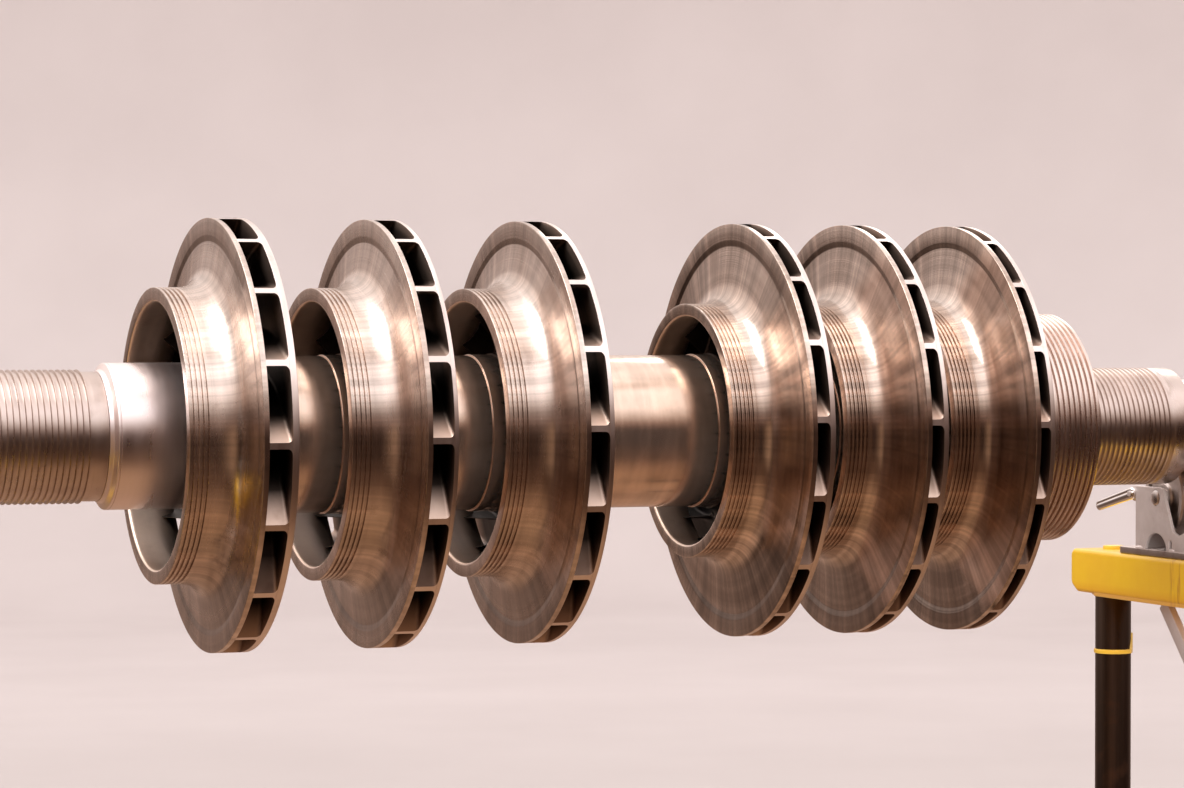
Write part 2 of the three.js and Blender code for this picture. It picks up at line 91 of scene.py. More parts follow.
# Sleeves and drum
NOSE_START = -103.5
NOSE_JOINT = -94.8
NOSE_R = 67.0
HUB_FRONT = -22.0
NECK_LENGTH = 15.0
NECK_R = 59.0
LABYRINTH_R = 61.0
LABYRINTH_PITCH = 5.7
RIGHT_PITCH = 5.58
SPACER_R = 73.0
DRUM_START = 786.0
DRUM_END = 866.5
DRUM_R = 113.5
DRUM_NECK_R = 88.0
DRUM_PITCH = 5.72
RIGHT_LABYRINTH_R = 59.3
RIGHT_TEETH_START = 876.0
RIGHT_TEETH_END = 979.0

# Steps of the spacer sleeves
SPACER_STEPS = [109.0, 253.6, 480.0, 606.0, 720.0]

# Impellers: rim plane, width at the outlet, disc thickness, hub, first blade in degrees, and eye
BLADES = 17
BLADE_THICK = 3.8
BLADE_ANGLE = math.radians(48)
BLADE_FILLET = 4.2
TIP_GAP = 0.03
RING_R = 184.0
BEVEL_R = 178.5
RECESS_R = (RING_R + BEVEL_R) / 2 * MM
FACE_R = 151.0
HUB_BACK = 9.0
BIG_EYE = dict(lip=50.0, lip_r=136.0, bore_r=123.0, grooves=4, pitch=4.5, blade_r=104.0)
SMALL_EYE = dict(lip=46.0, lip_r=122.5, bore_r=110.5, grooves=5, pitch=4.1, blade_r=98.0)
IMPELLERS = [
    dict(x=0.0, outlet=21.0, disc=6.0, hub_r=68.0, phase=-1.3, **BIG_EYE),
    dict(x=149.2, outlet=20.0, disc=4.0, hub_r=75.0, phase=-0.4, **BIG_EYE),
    dict(x=298.4, outlet=18.2, disc=4.4, hub_r=75.0, phase=2.3, **BIG_EYE),
    dict(x=520.8, outlet=13.2, disc=5.0, hub_r=75.0, phase=4.1, **SMALL_EYE),
    dict(x=637.7, outlet=12.3, disc=4.8, hub_r=75.0, phase=3.1, **SMALL_EYE),
    dict(x=751.2, outlet=10.4, disc=4.6, hub_r=75.0, phase=2.2, **SMALL_EYE),
]

# Facets round the rims and round the smaller turned parts
TURNS = 204
SLEEVE_TURNS = 128

# Fine rings and wide bands that turning leaves, by their number to a metre
FINE_RINGS = 900
WIDE_RINGS = 70

# Rust and old stains on bare steel
STAIN = (0.2, 0.115, 0.07)
RUST = (0.22, 0.09, 0.04)

# Painted shade in the impellers' channels: full up to the first radius and gone from the second, in metres
CHANNEL_FULL_SHADE_R = 0.178
CHANNEL_SHADE_END_R = 0.1992

# Marks and painted shade on the yellow beams, in metres
RUN_Y = -0.0125
RUN_BROWN = (0.42, 0.12, 0.01)
BEAM_FOOT_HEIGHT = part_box("right_stand_beam")[0].z
LOW_SHADE_HEIGHT = 0.012
LOW_SHADE_ORANGE = (0.72, 0.26, 0.004)
EDGE_HIGHLIGHT_YELLOW = (1.0, 0.9, 0.55)


# Node helpers

def new_material(name):
    material = bpy.data.materials.new(name)
    material.use_nodes = True
    tree = material.node_tree
    shader = tree.nodes["Principled BSDF"]
    return material, tree, shader


def feed(tree, socket, value):
    """Sets a number or a colour, or links what another node gives."""
    if isinstance(value, (int, float)):
        socket.default_value = value
    elif isinstance(value, tuple):
        socket.default_value = (*value, 1.0)
    else:
        tree.links.new(value, socket)


def math_node(tree, operation, a, b=None):
    node = tree.nodes.new("ShaderNodeMath")
    node.operation = operation
    feed(tree, node.inputs[0], a)
    if b is not None:
        feed(tree, node.inputs[1], b)
    return node.outputs[0]


def ramp(tree, factor, stops):
    node = tree.nodes.new("ShaderNodeValToRGB")
    elements = node.color_ramp.elements
    while len(elements) < len(stops):
        elements.new(0.5)
    for element, (place, color) in zip(elements, stops):
        element.position = place
        element.color = (*color, 1.0)
    tree.links.new(factor, node.inputs[0])
    return node.outputs[0]


def mix_color(tree, factor, a, b, blend="MIX"):
    node = tree.nodes.new("ShaderNodeMix")
    node.data_type = "RGBA"
    node.blend_type = blend
    for index, value in ((0, factor), (6, a), (7, b)):
        feed(tree, node.inputs[index], value)
    return node.outputs[2]


def object_place(tree):
    """The place on the object in metres, whole and split in three."""
    coords = tree.nodes.new("ShaderNodeTexCoord")
    split = tree.nodes.new("ShaderNodeSeparateXYZ")
    tree.links.new(coords.outputs["Object"], split.inputs[0])
    return coords.outputs["Object"], split.outputs


def joined_length(tree, a, b):
    squares = math_node(tree, "ADD", math_node(tree, "MULTIPLY", a, a), math_node(tree, "MULTIPLY", b, b))
    return math_node(tree, "SQRT", squares)


def rotor_coordinates(tree):
    """Axial place, radius and the two offsets from the rotor's axis, in metres."""
    _, (x, y, height) = object_place(tree)
    z = math_node(tree, "SUBTRACT", height, AXIS_Z)
    return x, joined_length(tree, y, z), y, z


def noise(tree, vector, scale, detail=3.0, roughness=0.5):
    node = tree.nodes.new("ShaderNodeTexNoise")
    node.inputs["Scale"].default_value = scale
    node.inputs["Detail"].default_value = detail
    node.inputs["Roughness"].default_value = roughness
    tree.links.new(vector, node.inputs["Vector"])
    return node.outputs["Fac"]


def combine(tree, x, y, z):
    node = tree.nodes.new("ShaderNodeCombineXYZ")
    for socket, value in zip(node.inputs, (x, y, z)):
        feed(tree, socket, value)
    return node.outputs[0]


def scaled(tree, values, factors):
    return combine(tree, *[math_node(tree, "MULTIPLY", v, f) for v, f in zip(values, factors)])


def spread(tree, value, low, high, to_low, to_high):
    node = tree.nodes.new("ShaderNodeMapRange")
    tree.links.new(value, node.inputs[0])
    for index, number in zip((1, 2, 3, 4), (low, high, to_low, to_high)):
        node.inputs[index].default_value = number
    return node.outputs[0]


def toned(tree, color, tone):
    """The colour times a grey tone."""
    return mix_color(tree, 1.0, color, combine(tree, tone, tone, tone), "MULTIPLY")


def set_surface(tree, shader, color, roughness, metallic=0.0):
    tree.links.new(color, shader.inputs["Base Color"])
    tree.links.new(roughness, shader.inputs["Roughness"])
    shader.inputs["Metallic"].default_value = metallic


def add_bump(tree, shader, height, strength, distance):
    bumper = tree.nodes.new("ShaderNodeBump")
    bumper.inputs["Strength"].default_value = strength
    bumper.inputs["Distance"].default_value = distance
    tree.links.new(height, bumper.inputs["Height"])
    tree.links.new(bumper.outputs[0], shader.inputs["Normal"])


# Turned steel: fine rings, wider bands, faint spokes, stains and rubbed patches.
# ring_shade paints shade into the recess on a cover's face, and a deep tone below one paints shade into a
# channel inwards from the rim.
def turned_steel(name, light, dark, rough, bands=0.5, stain=0.4, anisotropic=0.55, bump=0.25, spokes=0.0,
                 deep_shade_tone=1.0, ring_shade=0.0, metallic=1.0):
    material, tree, shader = new_material(name)
    x, radius, y, z = rotor_coordinates(tree)
    fine = [math_node(tree, "MULTIPLY", value, FINE_RINGS) for value in (x, radius)]
    wide = [math_node(tree, "MULTIPLY", value, WIDE_RINGS) for value in (x, radius)]
    unit_y = math_node(tree, "DIVIDE", y, radius)
    unit_z = math_node(tree, "DIVIDE", z, radius)
    rings = noise(tree, combine(tree, *fine, 0), 1.0, 2.0)
    broad = noise(tree, combine(tree, *wide, unit_z), 1.0, 4.0, 0.6)
    patches = noise(tree, scaled(tree, (x, y, z), (5, 9, 9)), 1.0, 5.0, 0.6)
    color = mix_color(tree, spread(tree, patches, 0.38, 0.66, 0.0, 1.0), light, dark)
    color = toned(tree, color, spread(tree, broad, 0.3, 0.7, 1.0 - 0.24 * bands, 1.0 + 0.12 * bands))
    if spokes > 0:
        spoke_lines = noise(tree, scaled(tree, (radius, unit_y, unit_z), (1.5, 11, 11)), 1.0, 3.0, 0.7)
        color = toned(tree, color, spread(tree, spoke_lines, 0.36, 0.64, 1.0 - spokes, 1.0 + 0.5 * spokes))
    spots = noise(tree, scaled(tree, (x, y, z), (40, 40, 40)), 1.0, 6.0, 0.65)
    stain_mask = spread(tree, spots, 0.56, 0.74, 0.0, stain)
    color = mix_color(tree, stain_mask, color, STAIN)
    # Painted shade in the recess ring on the cover's face
    if ring_shade > 0:
        off_ring = math_node(tree, "ABSOLUTE", math_node(tree, "SUBTRACT", radius, RECESS_R))
        color = toned(tree, color, spread(tree, off_ring, 0.0022, 0.0036, 1.0 - ring_shade, 1.0))
    # Painted shade: darkest deep in a channel, fading out towards the rim
    if deep_shade_tone < 1:
        color = toned(tree, color, spread(tree, radius, CHANNEL_FULL_SHADE_R, CHANNEL_SHADE_END_R, deep_shade_tone, 1.0))
    roughness = math_node(tree, "ADD", spread(tree, broad, 0.3, 0.7, rough - 0.05, rough + 0.06),
                          math_node(tree, "MULTIPLY", stain_mask, 0.25))
    set_surface(tree, shader, color, roughness, metallic)
    shader.inputs["Anisotropic"].default_value = anisotropic
    shader.inputs["Anisotropic Rotation"].default_value = 0.25
    tangent = tree.nodes.new("ShaderNodeTangent")
    tangent.direction_type = "RADIAL"
    tangent.axis = "X"
    tree.links.new(tangent.outputs[0], shader.inputs["Tangent"])
    add_bump(tree, shader, rings, bump, 0.00025)
    return material


# Plain worked steel with a fine grain and small scratches, not turned.
def worked_steel(name, light, dark, rough, grain, bump=0.2, rust=0.0, metallic=1.0):
    material, tree, shader = new_material(name)
    place, parts = object_place(tree)
    lines = noise(tree, scaled(tree, parts, grain), 1.0, 5.0, 0.6)
    patches = noise(tree, place, 28.0, 5.0, 0.6)
    color = mix_color(tree, spread(tree, lines, 0.35, 0.68, 0.0, 1.0), light, dark)
    rust_mask = spread(tree, patches, 0.57, 0.72, 0.0, rust)
    color = mix_color(tree, rust_mask, color, RUST)
    roughness = math_node(tree, "ADD", spread(tree, lines, 0.3, 0.7, rough - 0.05, rough + 0.08),
                          math_node(tree, "MULTIPLY", rust_mask, 0.4))
    set_surface(tree, shader, color, roughness, metallic)
    add_bump(tree, shader, lines, bump, 0.0004)
    return material


# Gloss enamel with a painted highlight on convex edges, a rust run, painted shade along the lower edge and a
# grubby film.
def enamel(name, paint, shade, foot_shade):
    material, tree, shader = new_material(name)
    place, parts = object_place(tree)
    film = noise(tree, place, 14.0, 6.0, 0.6)
    color = mix_color(tree, spread(tree, film, 0.35, 0.75, 0.0, 1.0), paint, shade)
    runs = noise(tree, scaled(tree, parts, (90, 90, 9)), 1.0, 4.0, 0.6)
    off_run = math_node(tree, "ABSOLUTE", math_node(tree, "SUBTRACT", parts[1], RUN_Y))
    near_run = spread(tree, off_run, 0.004, 0.02, 0.9, 0.0)
    run_mask = math_node(tree, "MULTIPLY", near_run, spread(tree, runs, 0.5, 0.6, 0.0, 1.0))
    # Painted shade: orange along the lower edge of the beam
    low_shade = spread(tree, parts[2], BEAM_FOOT_HEIGHT, BEAM_FOOT_HEIGHT + LOW_SHADE_HEIGHT, foot_shade, 0.0)
    color = mix_color(tree, low_shade, color, LOW_SHADE_ORANGE)
    color = mix_color(tree, run_mask, color, RUN_BROWN)
    # Painted highlight: paler yellow on convex edges
    geometry = tree.nodes.new("ShaderNodeNewGeometry")
    edge = spread(tree, geometry.outputs["Pointiness"], 0.53, 0.6, 0.0, 0.35)
    color = mix_color(tree, edge, color, EDGE_HIGHLIGHT_YELLOW)
    set_surface(tree, shader, color, spread(tree, film, 0.3, 0.7, 0.28, 0.46))
    shader.inputs["Coat Weight"].default_value = 0.35
    shader.inputs["Coat Roughness"].default_value = 0.15
    add_bump(tree, shader, noise(tree, place, 260.0, 2.0), 0.12, 0.0006)
    return material


def rubber(name):
    material, tree, shader = new_material(name)
    place, _ = object_place(tree)
    dust = noise(tree, place, 70.0, 5.0, 0.6)
    color = mix_color(tree, spread(tree, dust, 0.4, 0.75, 0.0, 1.0), (0.02, 0.02, 0.02), (0.11, 0.1, 0.09))
    set_surface(tree, shader, color, spread(tree, dust, 0.3, 0.7, 0.6, 0.85))
    return material


COVER_FINE = turned_steel("cover_fine", (0.78, 0.66, 0.58), (0.6, 0.47, 0.39), 0.19, bands=0.8, stain=0.1,
                          anisotropic=0.75, bump=0.3, spokes=0.34, ring_shade=0.4)
COVER_DULL = turned_steel("cover_dull", (0.78, 0.67, 0.6), (0.6, 0.48, 0.41), 0.24, bands=0.8, stain=0.3,
                          anisotropic=0.65, bump=0.3, spokes=0.24, ring_shade=0.25)
DISC_STEEL = turned_steel("disc_steel", (0.88, 0.78, 0.74), (0.72, 0.61, 0.56), 0.32, bands=0.4, stain=0.3,
                          anisotropic=0.4)
# A darker copy of the disc steel for the channels' faces: painted shade inside the channels
CHANNEL_SHADED_STEEL = turned_steel("channel_shaded_steel", (0.6, 0.46, 0.38), (0.45, 0.33, 0.27), 0.4, bands=0.3,
                             stain=0.3, anisotropic=0.2, bump=0.2, deep_shade_tone=0.05)
SLEEVE_STEEL = turned_steel("sleeve_steel", (0.8, 0.63, 0.52), (0.62, 0.46, 0.36), 0.17, bands=0.8,
                            stain=0.12, anisotropic=0.3, bump=0.08, metallic=0.95)
NOSE_STEEL = turned_steel("nose_steel", (0.98, 0.88, 0.87), (0.92, 0.82, 0.8), 0.31, bands=0.3, stain=0.03,
                          anisotropic=0.0, bump=0.04)
# A rougher, brighter copy of the cover steel for the eye's bore: its brightness is painted light standing in
# for light bounced into the eye
EYE_LIT_STEEL = turned_steel("eye_painted_light_steel", (0.95, 0.8, 0.7), (0.84, 0.68, 0.56), 0.4, bands=0.3, stain=0.15,
                         anisotropic=0.0)
TOOTH_STEEL = turned_steel("tooth_steel", (0.68, 0.59, 0.55), (0.54, 0.44, 0.39), 0.3, bands=0.4,
                           stain=0.25, anisotropic=0.3)
DRUM_STEEL = turned_steel("drum_steel", (0.78, 0.67, 0.62), (0.62, 0.5, 0.44), 0.26, stain=0.2,
                          anisotropic=0.3)
JOURNAL_STEEL = turned_steel("journal_steel", (0.77, 0.72, 0.7), (0.68, 0.62, 0.6), 0.2, bands=0.4,
                             stain=0.06, anisotropic=0.5)
BRACKET_STEEL = worked_steel("bracket_steel", (0.8, 0.72, 0.69), (0.68, 0.6, 0.57), 0.42,
                             grain=(30, 30, 30), bump=0.15, rust=0.2, metallic=0.5)
# A dark copy of the bracket steel: painted shade on the cheeks' sides that face each other
BRACKET_INSIDE_SHADE = worked_steel("bracket_inside_shade", (0.2, 0.16, 0.14), (0.12, 0.09, 0.08), 0.5,
                              grain=(30, 30, 30), bump=0.15, rust=0.3)
PLATE_STEEL = worked_steel("plate_steel", (0.56, 0.49, 0.46), (0.4, 0.33, 0.31), 0.42, grain=(40, 40, 40),
                           rust=0.4)
LEVER_CHROME = worked_steel("lever_chrome", (0.92, 0.91, 0.9), (0.84, 0.82, 0.81), 0.16, grain=(20, 20, 20),
                            bump=0.05)
POST_STEEL = worked_steel("post_steel", (0.12, 0.08, 0.06), (0.07, 0.045, 0.032), 0.36, grain=(90, 90, 3),
                          bump=0.15, rust=0.3)
ROLLER_STEEL = worked_steel("roller_steel", (0.86, 0.78, 0.74), (0.74, 0.66, 0.62), 0.42,
                            grain=(30, 90, 90), bump=0.1, rust=0.1)
BOLT_STEEL = worked_steel("bolt_steel", (0.8, 0.76, 0.74), (0.6, 0.55, 0.52), 0.25, grain=(60, 60, 60),
                          bump=0.1, rust=0.1)
YELLOW = enamel("yellow_enamel", (0.9, 0.56, 0.01), (0.84, 0.48, 0.008), 0.6)
RING_YELLOW = enamel("ring_yellow", (0.9, 0.56, 0.01), (0.8, 0.44, 0.008), 0.0)
BLACK_RUBBER = rubber("black_rubber")

# Mesh helpers

def linked_object(name, mesh, finish, sharp):
    mesh.shade_smooth()
    mesh.set_sharp_from_angle(angle=math.radians(sharp))
    mesh.materials.append(finish)
    obj = bpy.data.objects.new(name, mesh)
    bpy.context.scene.collection.objects.link(obj)
    return obj


def make_object(name, verts, faces, finish, sharp=32.0):
    mesh = bpy.data.meshes.new(name)
    mesh.from_pydata(verts, [], faces)
    mesh.validate()
    work = bmesh.new()
    work.from_mesh(mesh)
    bmesh.ops.recalc_face_normals(work, faces=work.faces)
    work.to_mesh(mesh)
    work.free()
    return linked_object(name, mesh, finish, sharp)


def line_faces(obj, finish, chosen):
    """Gives the faces that chosen(x, radius, along, inward) picks their own finish."""
    obj.data.materials.append(finish)
    index = len(obj.data.materials) - 1
    for face in obj.data.polygons:
        offset = face.center - Vector((0, 0, AXIS_Z))
        radius = math.hypot(offset.y, offset.z)
        inward = -(face.normal.y * offset.y + face.normal.z * offset.z) / radius
        if chosen(offset.x, radius / MM, face.normal.x, inward):
            face.material_index = index


def ring_faces(sides, rings):
    """Faces between rings that follow each other, all with the same number of points."""
    faces = []
    for i in range(rings - 1):
        a, b = i * sides, (i + 1) * sides
        for k in range(sides):
            j = (k + 1) % sides
            faces.append((a + k, a + j, b + j, b + k))
    return faces


def capped_faces(sides, rings):
    ends = [tuple(range(sides)), tuple(range((rings - 1) * sides, rings * sides))]
    return ends + ring_faces(sides, rings)


def turned_faces(count, turns):
    """Faces of a closed section of count points that goes once round."""
    faces = []
    for k in range(turns):
        a, b = k * count, ((k + 1) % turns) * count
        for i in range(count):
            j = (i + 1) % count
            faces.append((a + i, a + j, b + j, b + i))
    return faces


def bend(start, corner, end, steps):
    """Points of a bend that leaves start towards corner and comes to end from it."""
    points = []
    for i in range(steps + 1):
        t = i / steps
        point = start * (1 - t) ** 2 + corner * 2 * t * (1 - t) + end * t * t
        points.append((point.x, point.y))
    return points


def rounded(points, default=0.5, steps=4):
    """Rounds the corners of a closed outline. A point may give its own radius as a third number."""
    count = len(points)
    out = []
    for i, point in enumerate(points):
        here = Vector(point[:2])
        before = Vector(points[i - 1][:2])
        after = Vector(points[(i + 1) % count][:2])
        size = point[2] if len(point) > 2 else default
        to_before = before - here
        to_after = after - here
        if size <= 0 or to_before.length < 1e-6 or to_after.length < 1e-6:
            out.append(tuple(here))
            continue
        turn = to_before.angle(to_after)
        if turn > math.radians(176):
            out.append(tuple(here))
            continue
        reach = size / math.tan(turn / 2)
        reach = min(reach, to_before.length * 0.49, to_after.length * 0.49)
        radius = reach * math.tan(turn / 2)
        between = (to_before.normalized() + to_after.normalized()).normalized()
        centre = here + between * (radius / math.sin(turn / 2))
        start = here + to_before.normalized() * reach - centre
        end = here + to_after.normalized() * reach - centre
        sweep = start.angle_signed(end)
        for k in range(steps + 1):
            angle = -sweep * k / steps
            spin = Matrix.Rotation(angle, 2)
            out.append(tuple(centre + spin @ start))
    return out


def lathe_parts(profile, turns, place_x, axis_y=0.0, axis_z=AXIS_Z):
    """Vertices and faces of a closed profile turned about a line along X."""
    verts = []
    for k in range(turns):
        angle = 2 * math.pi * k / turns
        c, s = math.cos(angle), math.sin(angle)
        for x, r in profile:
            verts.append((place_x + x * MM, axis_y - r * MM * c, axis_z + r * MM * s))
    return verts, turned_faces(len(profile), turns)


def turned(name, profile, finish, body, node, slot, turns=TURNS, place_x=RIM_X, **where):
    verts, faces = lathe_parts(profile, turns, place_x, **where)
    obj = make_object(name, verts, faces, finish)
    return dress(obj, body, slot, node)


def dress(obj, body, slot, *nodes):
    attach(obj, body)
    if nodes:
        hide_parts(*nodes)
    return obj


def teeth(first, last, pitch, land_r, tip_r, tip=0.7, foot=1.7):
    """A row of labyrinth teeth, listed from the low end of the axis to the high end."""
    points = []
    count = int((last - first) / pitch)
    for k in range(count + 1):
        x = first + k * pitch
        points += [(x - foot / 2, land_r, 0.3), (x - tip / 2, tip_r, 0.1)]
        points += [(x + tip / 2, tip_r, 0.1), (x + foot / 2, land_r, 0.3)]
    return points


def grooves(places, r, width, floor_width, depth, edge_round, floor_round):
    points = []
    for x in places:
        points += [(x - width / 2, r, edge_round), (x - floor_width / 2, r - depth, floor_round)]
        points += [(x + floor_width / 2, r - depth, floor_round), (x + width / 2, r, edge_round)]
    return points


# The impellers

def hub_curve(imp, steps=26):
    """The hub's front surface, from the rim inwards to the nose of the hub."""
    front = COVER_RIM + imp["outlet"]
    points = []
    for i in range(steps + 1):
        angle = (i / steps) * math.pi / 2
        r = OUTER_R - (OUTER_R - imp["hub_r"]) * math.sin(angle) ** 0.9
        x = front - (front - HUB_FRONT) * (1 - math.cos(angle)) ** 1.15
        points.append((x, r))
    return points


def cover_curve(imp, steps=14):
    """The cover's inner surface, from the rim inwards to the bore of the eye."""
    start = Vector((COVER_RIM - 2.8, FACE_R))
    corner = Vector((COVER_RIM - 4.5, imp["bore_r"] + 1.5))
    end = Vector((-26.0, imp["bore_r"] + 0.6))
    return [(COVER_RIM, OUTER_R), (COVER_RIM - 1.2, 175.0), *bend(start, corner, end, steps)]


def at_radius(curve, r):
    for (xa, ra), (xb, rb) in zip(curve, curve[1:]):
        if rb <= r <= ra:
            return xa + (xb - xa) * (ra - r) / max(ra - rb, 1e-9)
    return curve[-1][0] if r < curve[-1][1] else curve[0][0]


def cover_profile(imp):
    lip = imp["lip"]
    lip_r = imp["lip_r"]
    pitch = imp["pitch"]
    places = [3.4 - lip + pitch * k for k in range(imp["grooves"])]
    outer = [(-lip, lip_r, 0.6)]
    outer += grooves(places, lip_r, 2.3, 1.38, 2.3, 0.2, 0.1)
    start = Vector((-lip + pitch * imp["grooves"] + 4.0, lip_r))
    corner = Vector((-4.5, lip_r + 1.0))
    end = Vector((-2.6, FACE_R + 4 - (BIG_EYE["lip_r"] - lip_r) * 0.75))
    outer += [(x, r, 0) for x, r in bend(start, corner, end, 14)]
    outer += [(0.9, BEVEL_R, 0.4), (0.0, RING_R, 0.5), (0.0, OUTER_R, 0.5), (COVER_RIM, OUTER_R, 0.15)]
    inner = [(x, r, 0) for x, r in cover_curve(imp)[1:]]
    inner += [(-lip + 5, imp["bore_r"], 0), (-lip, imp["bore_r"], 2.2)]
    return rounded(outer + inner)


def blade_parts(imp, turn, offset):
    """One backswept blade, filleted into the hub, as a loft from the rim to its leading edge."""
    hub = hub_curve(imp, 60)
    cover = cover_curve(imp, 30)
    stations = 13
    cover_end = imp["bore_r"] + 1.6
    verts = []
    for i in range(stations + 1):
        s = i / stations
        rh = OUTER_R - TIP_GAP - (OUTER_R - imp["blade_r"]) * s
        rc = OUTER_R - TIP_GAP - (OUTER_R - cover_end) * s
        low = Vector((at_radius(hub, rh), rh))
        high = Vector((at_radius(cover, rc), rc))
        height = (high - low).length
        edge = 1 - max(0.0, (s - 0.93) / 0.07) ** 2
        half = (BLADE_THICK / 2) * (1 - 0.25 * s) * max(edge, 0.12)
        fillet = min(BLADE_FILLET, height * 0.36)
        section = [(-1.0, half + fillet)]
        for k in range(6):
            phi = (k / 5) * math.pi / 2
            section.append((fillet * (1 - math.cos(phi)), half + fillet * (1 - math.sin(phi))))
        section.append((height + 0.35, half))
        section += [(h, -o) for h, o in reversed(section)]
        for h, o in section:
            point = low + (high - low) * (h / height)
            r = point.y
            angle = turn + math.tan(BLADE_ANGLE) * math.log(OUTER_R / max(r, 1.0))
            angle += o / math.cos(BLADE_ANGLE) / r
            x = RIM_X + (imp["x"] + point.x) * MM
            verts.append((x, -r * MM * math.cos(angle), AXIS_Z + r * MM * math.sin(angle)))
    sides = len(section)
    faces = ring_faces(sides, stations + 1)
    for first in (0, stations * sides):
        last = first + sides - 1
        for k in range(sides // 2 - 1):
            faces.append((first + k, first + k + 1, last - k - 1, last - k))
    faces = [tuple(offset + i for i in face) for face in faces]
    return verts, faces


def disc_profile(imp):
    front = COVER_RIM + imp["outlet"]
    back = front + imp["disc"]
    hub_r = imp["hub_r"]
    points = [(front, OUTER_R, 0.15)]
    points += [(x, r, 0) for x, r in hub_curve(imp)[1:]]
    points += [
        (HUB_FRONT, CORE_R + SEAT, 0.4),
        (back + HUB_BACK, CORE_R + SEAT, 0.4),
        (back + HUB_BACK, hub_r + 7, 1.0),
        (back + 0.6, hub_r + 12, 5.0),
        (back + 0.6, 118.0, 0.4),
        (back - 0.8, 122.0, 0.4),
        (back - 0.8, 176.0, 0.4),
        (back, 180.0, 0.4),
        (back, OUTER_R, 0.5),
    ]
    return rounded(points, 0.4)


def add_impellers():
    for number, imp in enumerate(IMPELLERS, 1):
        place = RIM_X + imp["x"] * MM
        verts, faces = lathe_parts(disc_profile(imp), TURNS, place)
        for k in range(BLADES):
            turn = math.radians(imp["phase"]) + k * 2 * math.pi / BLADES
            blade_verts, blade_faces = blade_parts(imp, turn, len(verts))
            verts += blade_verts
            faces += blade_faces
        disc = make_object(f"impeller_{number}_bladed_disc", verts, faces, DISC_STEEL, 34)
        web_x = place + (COVER_RIM + imp["outlet"] + 0.3) * MM
        # Faces inside the channels take the steel with painted shade
        line_faces(disc, CHANNEL_SHADED_STEEL, lambda x, radius, *_: x < web_x and radius < OUTER_R - 0.4)
        dress(disc, "rotor", "turned_steel", f"impeller_{number}_disc")
        finish = COVER_DULL if number <= 3 else COVER_FINE
        cover = turned(f"impeller_{number}_turned_cover", cover_profile(imp), finish, "rotor",
                       f"impeller_{number}_cover", "bright_steel", place_x=place)
        beyond = imp["lip_r"] + 3
        # The eye's inner faces take the steel with painted light
        line_faces(cover, EYE_LIT_STEEL, lambda x, radius, along, inward: inward > 0.3 and radius < beyond)
        # The cover's faces towards the channels take the steel with painted shade
        line_faces(cover, CHANNEL_SHADED_STEEL,
                   lambda x, radius, along, inward: along > 0.5 and beyond < radius < OUTER_R - 0.4)


# Shaft, sleeves and drum

def add_shaft():
    profile = [
        (SHAFT_START, CENTRE_HOLE_R, 0),
        (SHAFT_START, STUB_R, 2.0),
        (STUB_END, STUB_R, 1.5),
        (STUB_END, THRUST_SEAT_R, 1.0),
        (COLLAR_START, THRUST_SEAT_R, 0.5),
        (COLLAR_START, COLLAR_SEAT_R, 0.5),
        (COLLAR_END, COLLAR_SEAT_R, 0.5),
        (COLLAR_END, JOURNAL_R, 1.5),
        (LEFT_JOURNAL_END, JOURNAL_R, 0.8),
        (LEFT_JOURNAL_END, CORE_R, 0.5),
        (RIGHT_JOURNAL_START, CORE_R, 0.5),
        (RIGHT_JOURNAL_START, JOURNAL_R, 0.8),
        (RIGHT_JOURNAL_END, JOURNAL_R, 1.5),
        (RIGHT_JOURNAL_END, COUPLING_BIG_R, 2.5),
        (COUPLING_START, COUPLING_BIG_R, 0.5),
        (COUPLING_END, COUPLING_SMALL_R, 1.0),
        (COUPLING_END, COUPLING_THREAD_R, 1.0),
        (SHAFT_END, COUPLING_THREAD_R, 2.0),
        (SHAFT_END, CENTRE_HOLE_R, 0),
        (SHAFT_END - CENTRE_HOLE_DEPTH, 1.0, 0),
        (SHAFT_START + CENTRE_HOLE_DEPTH, 1.0, 0),
    ]
    turned("turned_shaft", rounded(profile), JOURNAL_STEEL, "rotor", "shaft", "bright_steel", SLEEVE_TURNS)


def hub_back(imp):
    return imp["x"] + COVER_RIM + imp["outlet"] + imp["disc"] + HUB_BACK


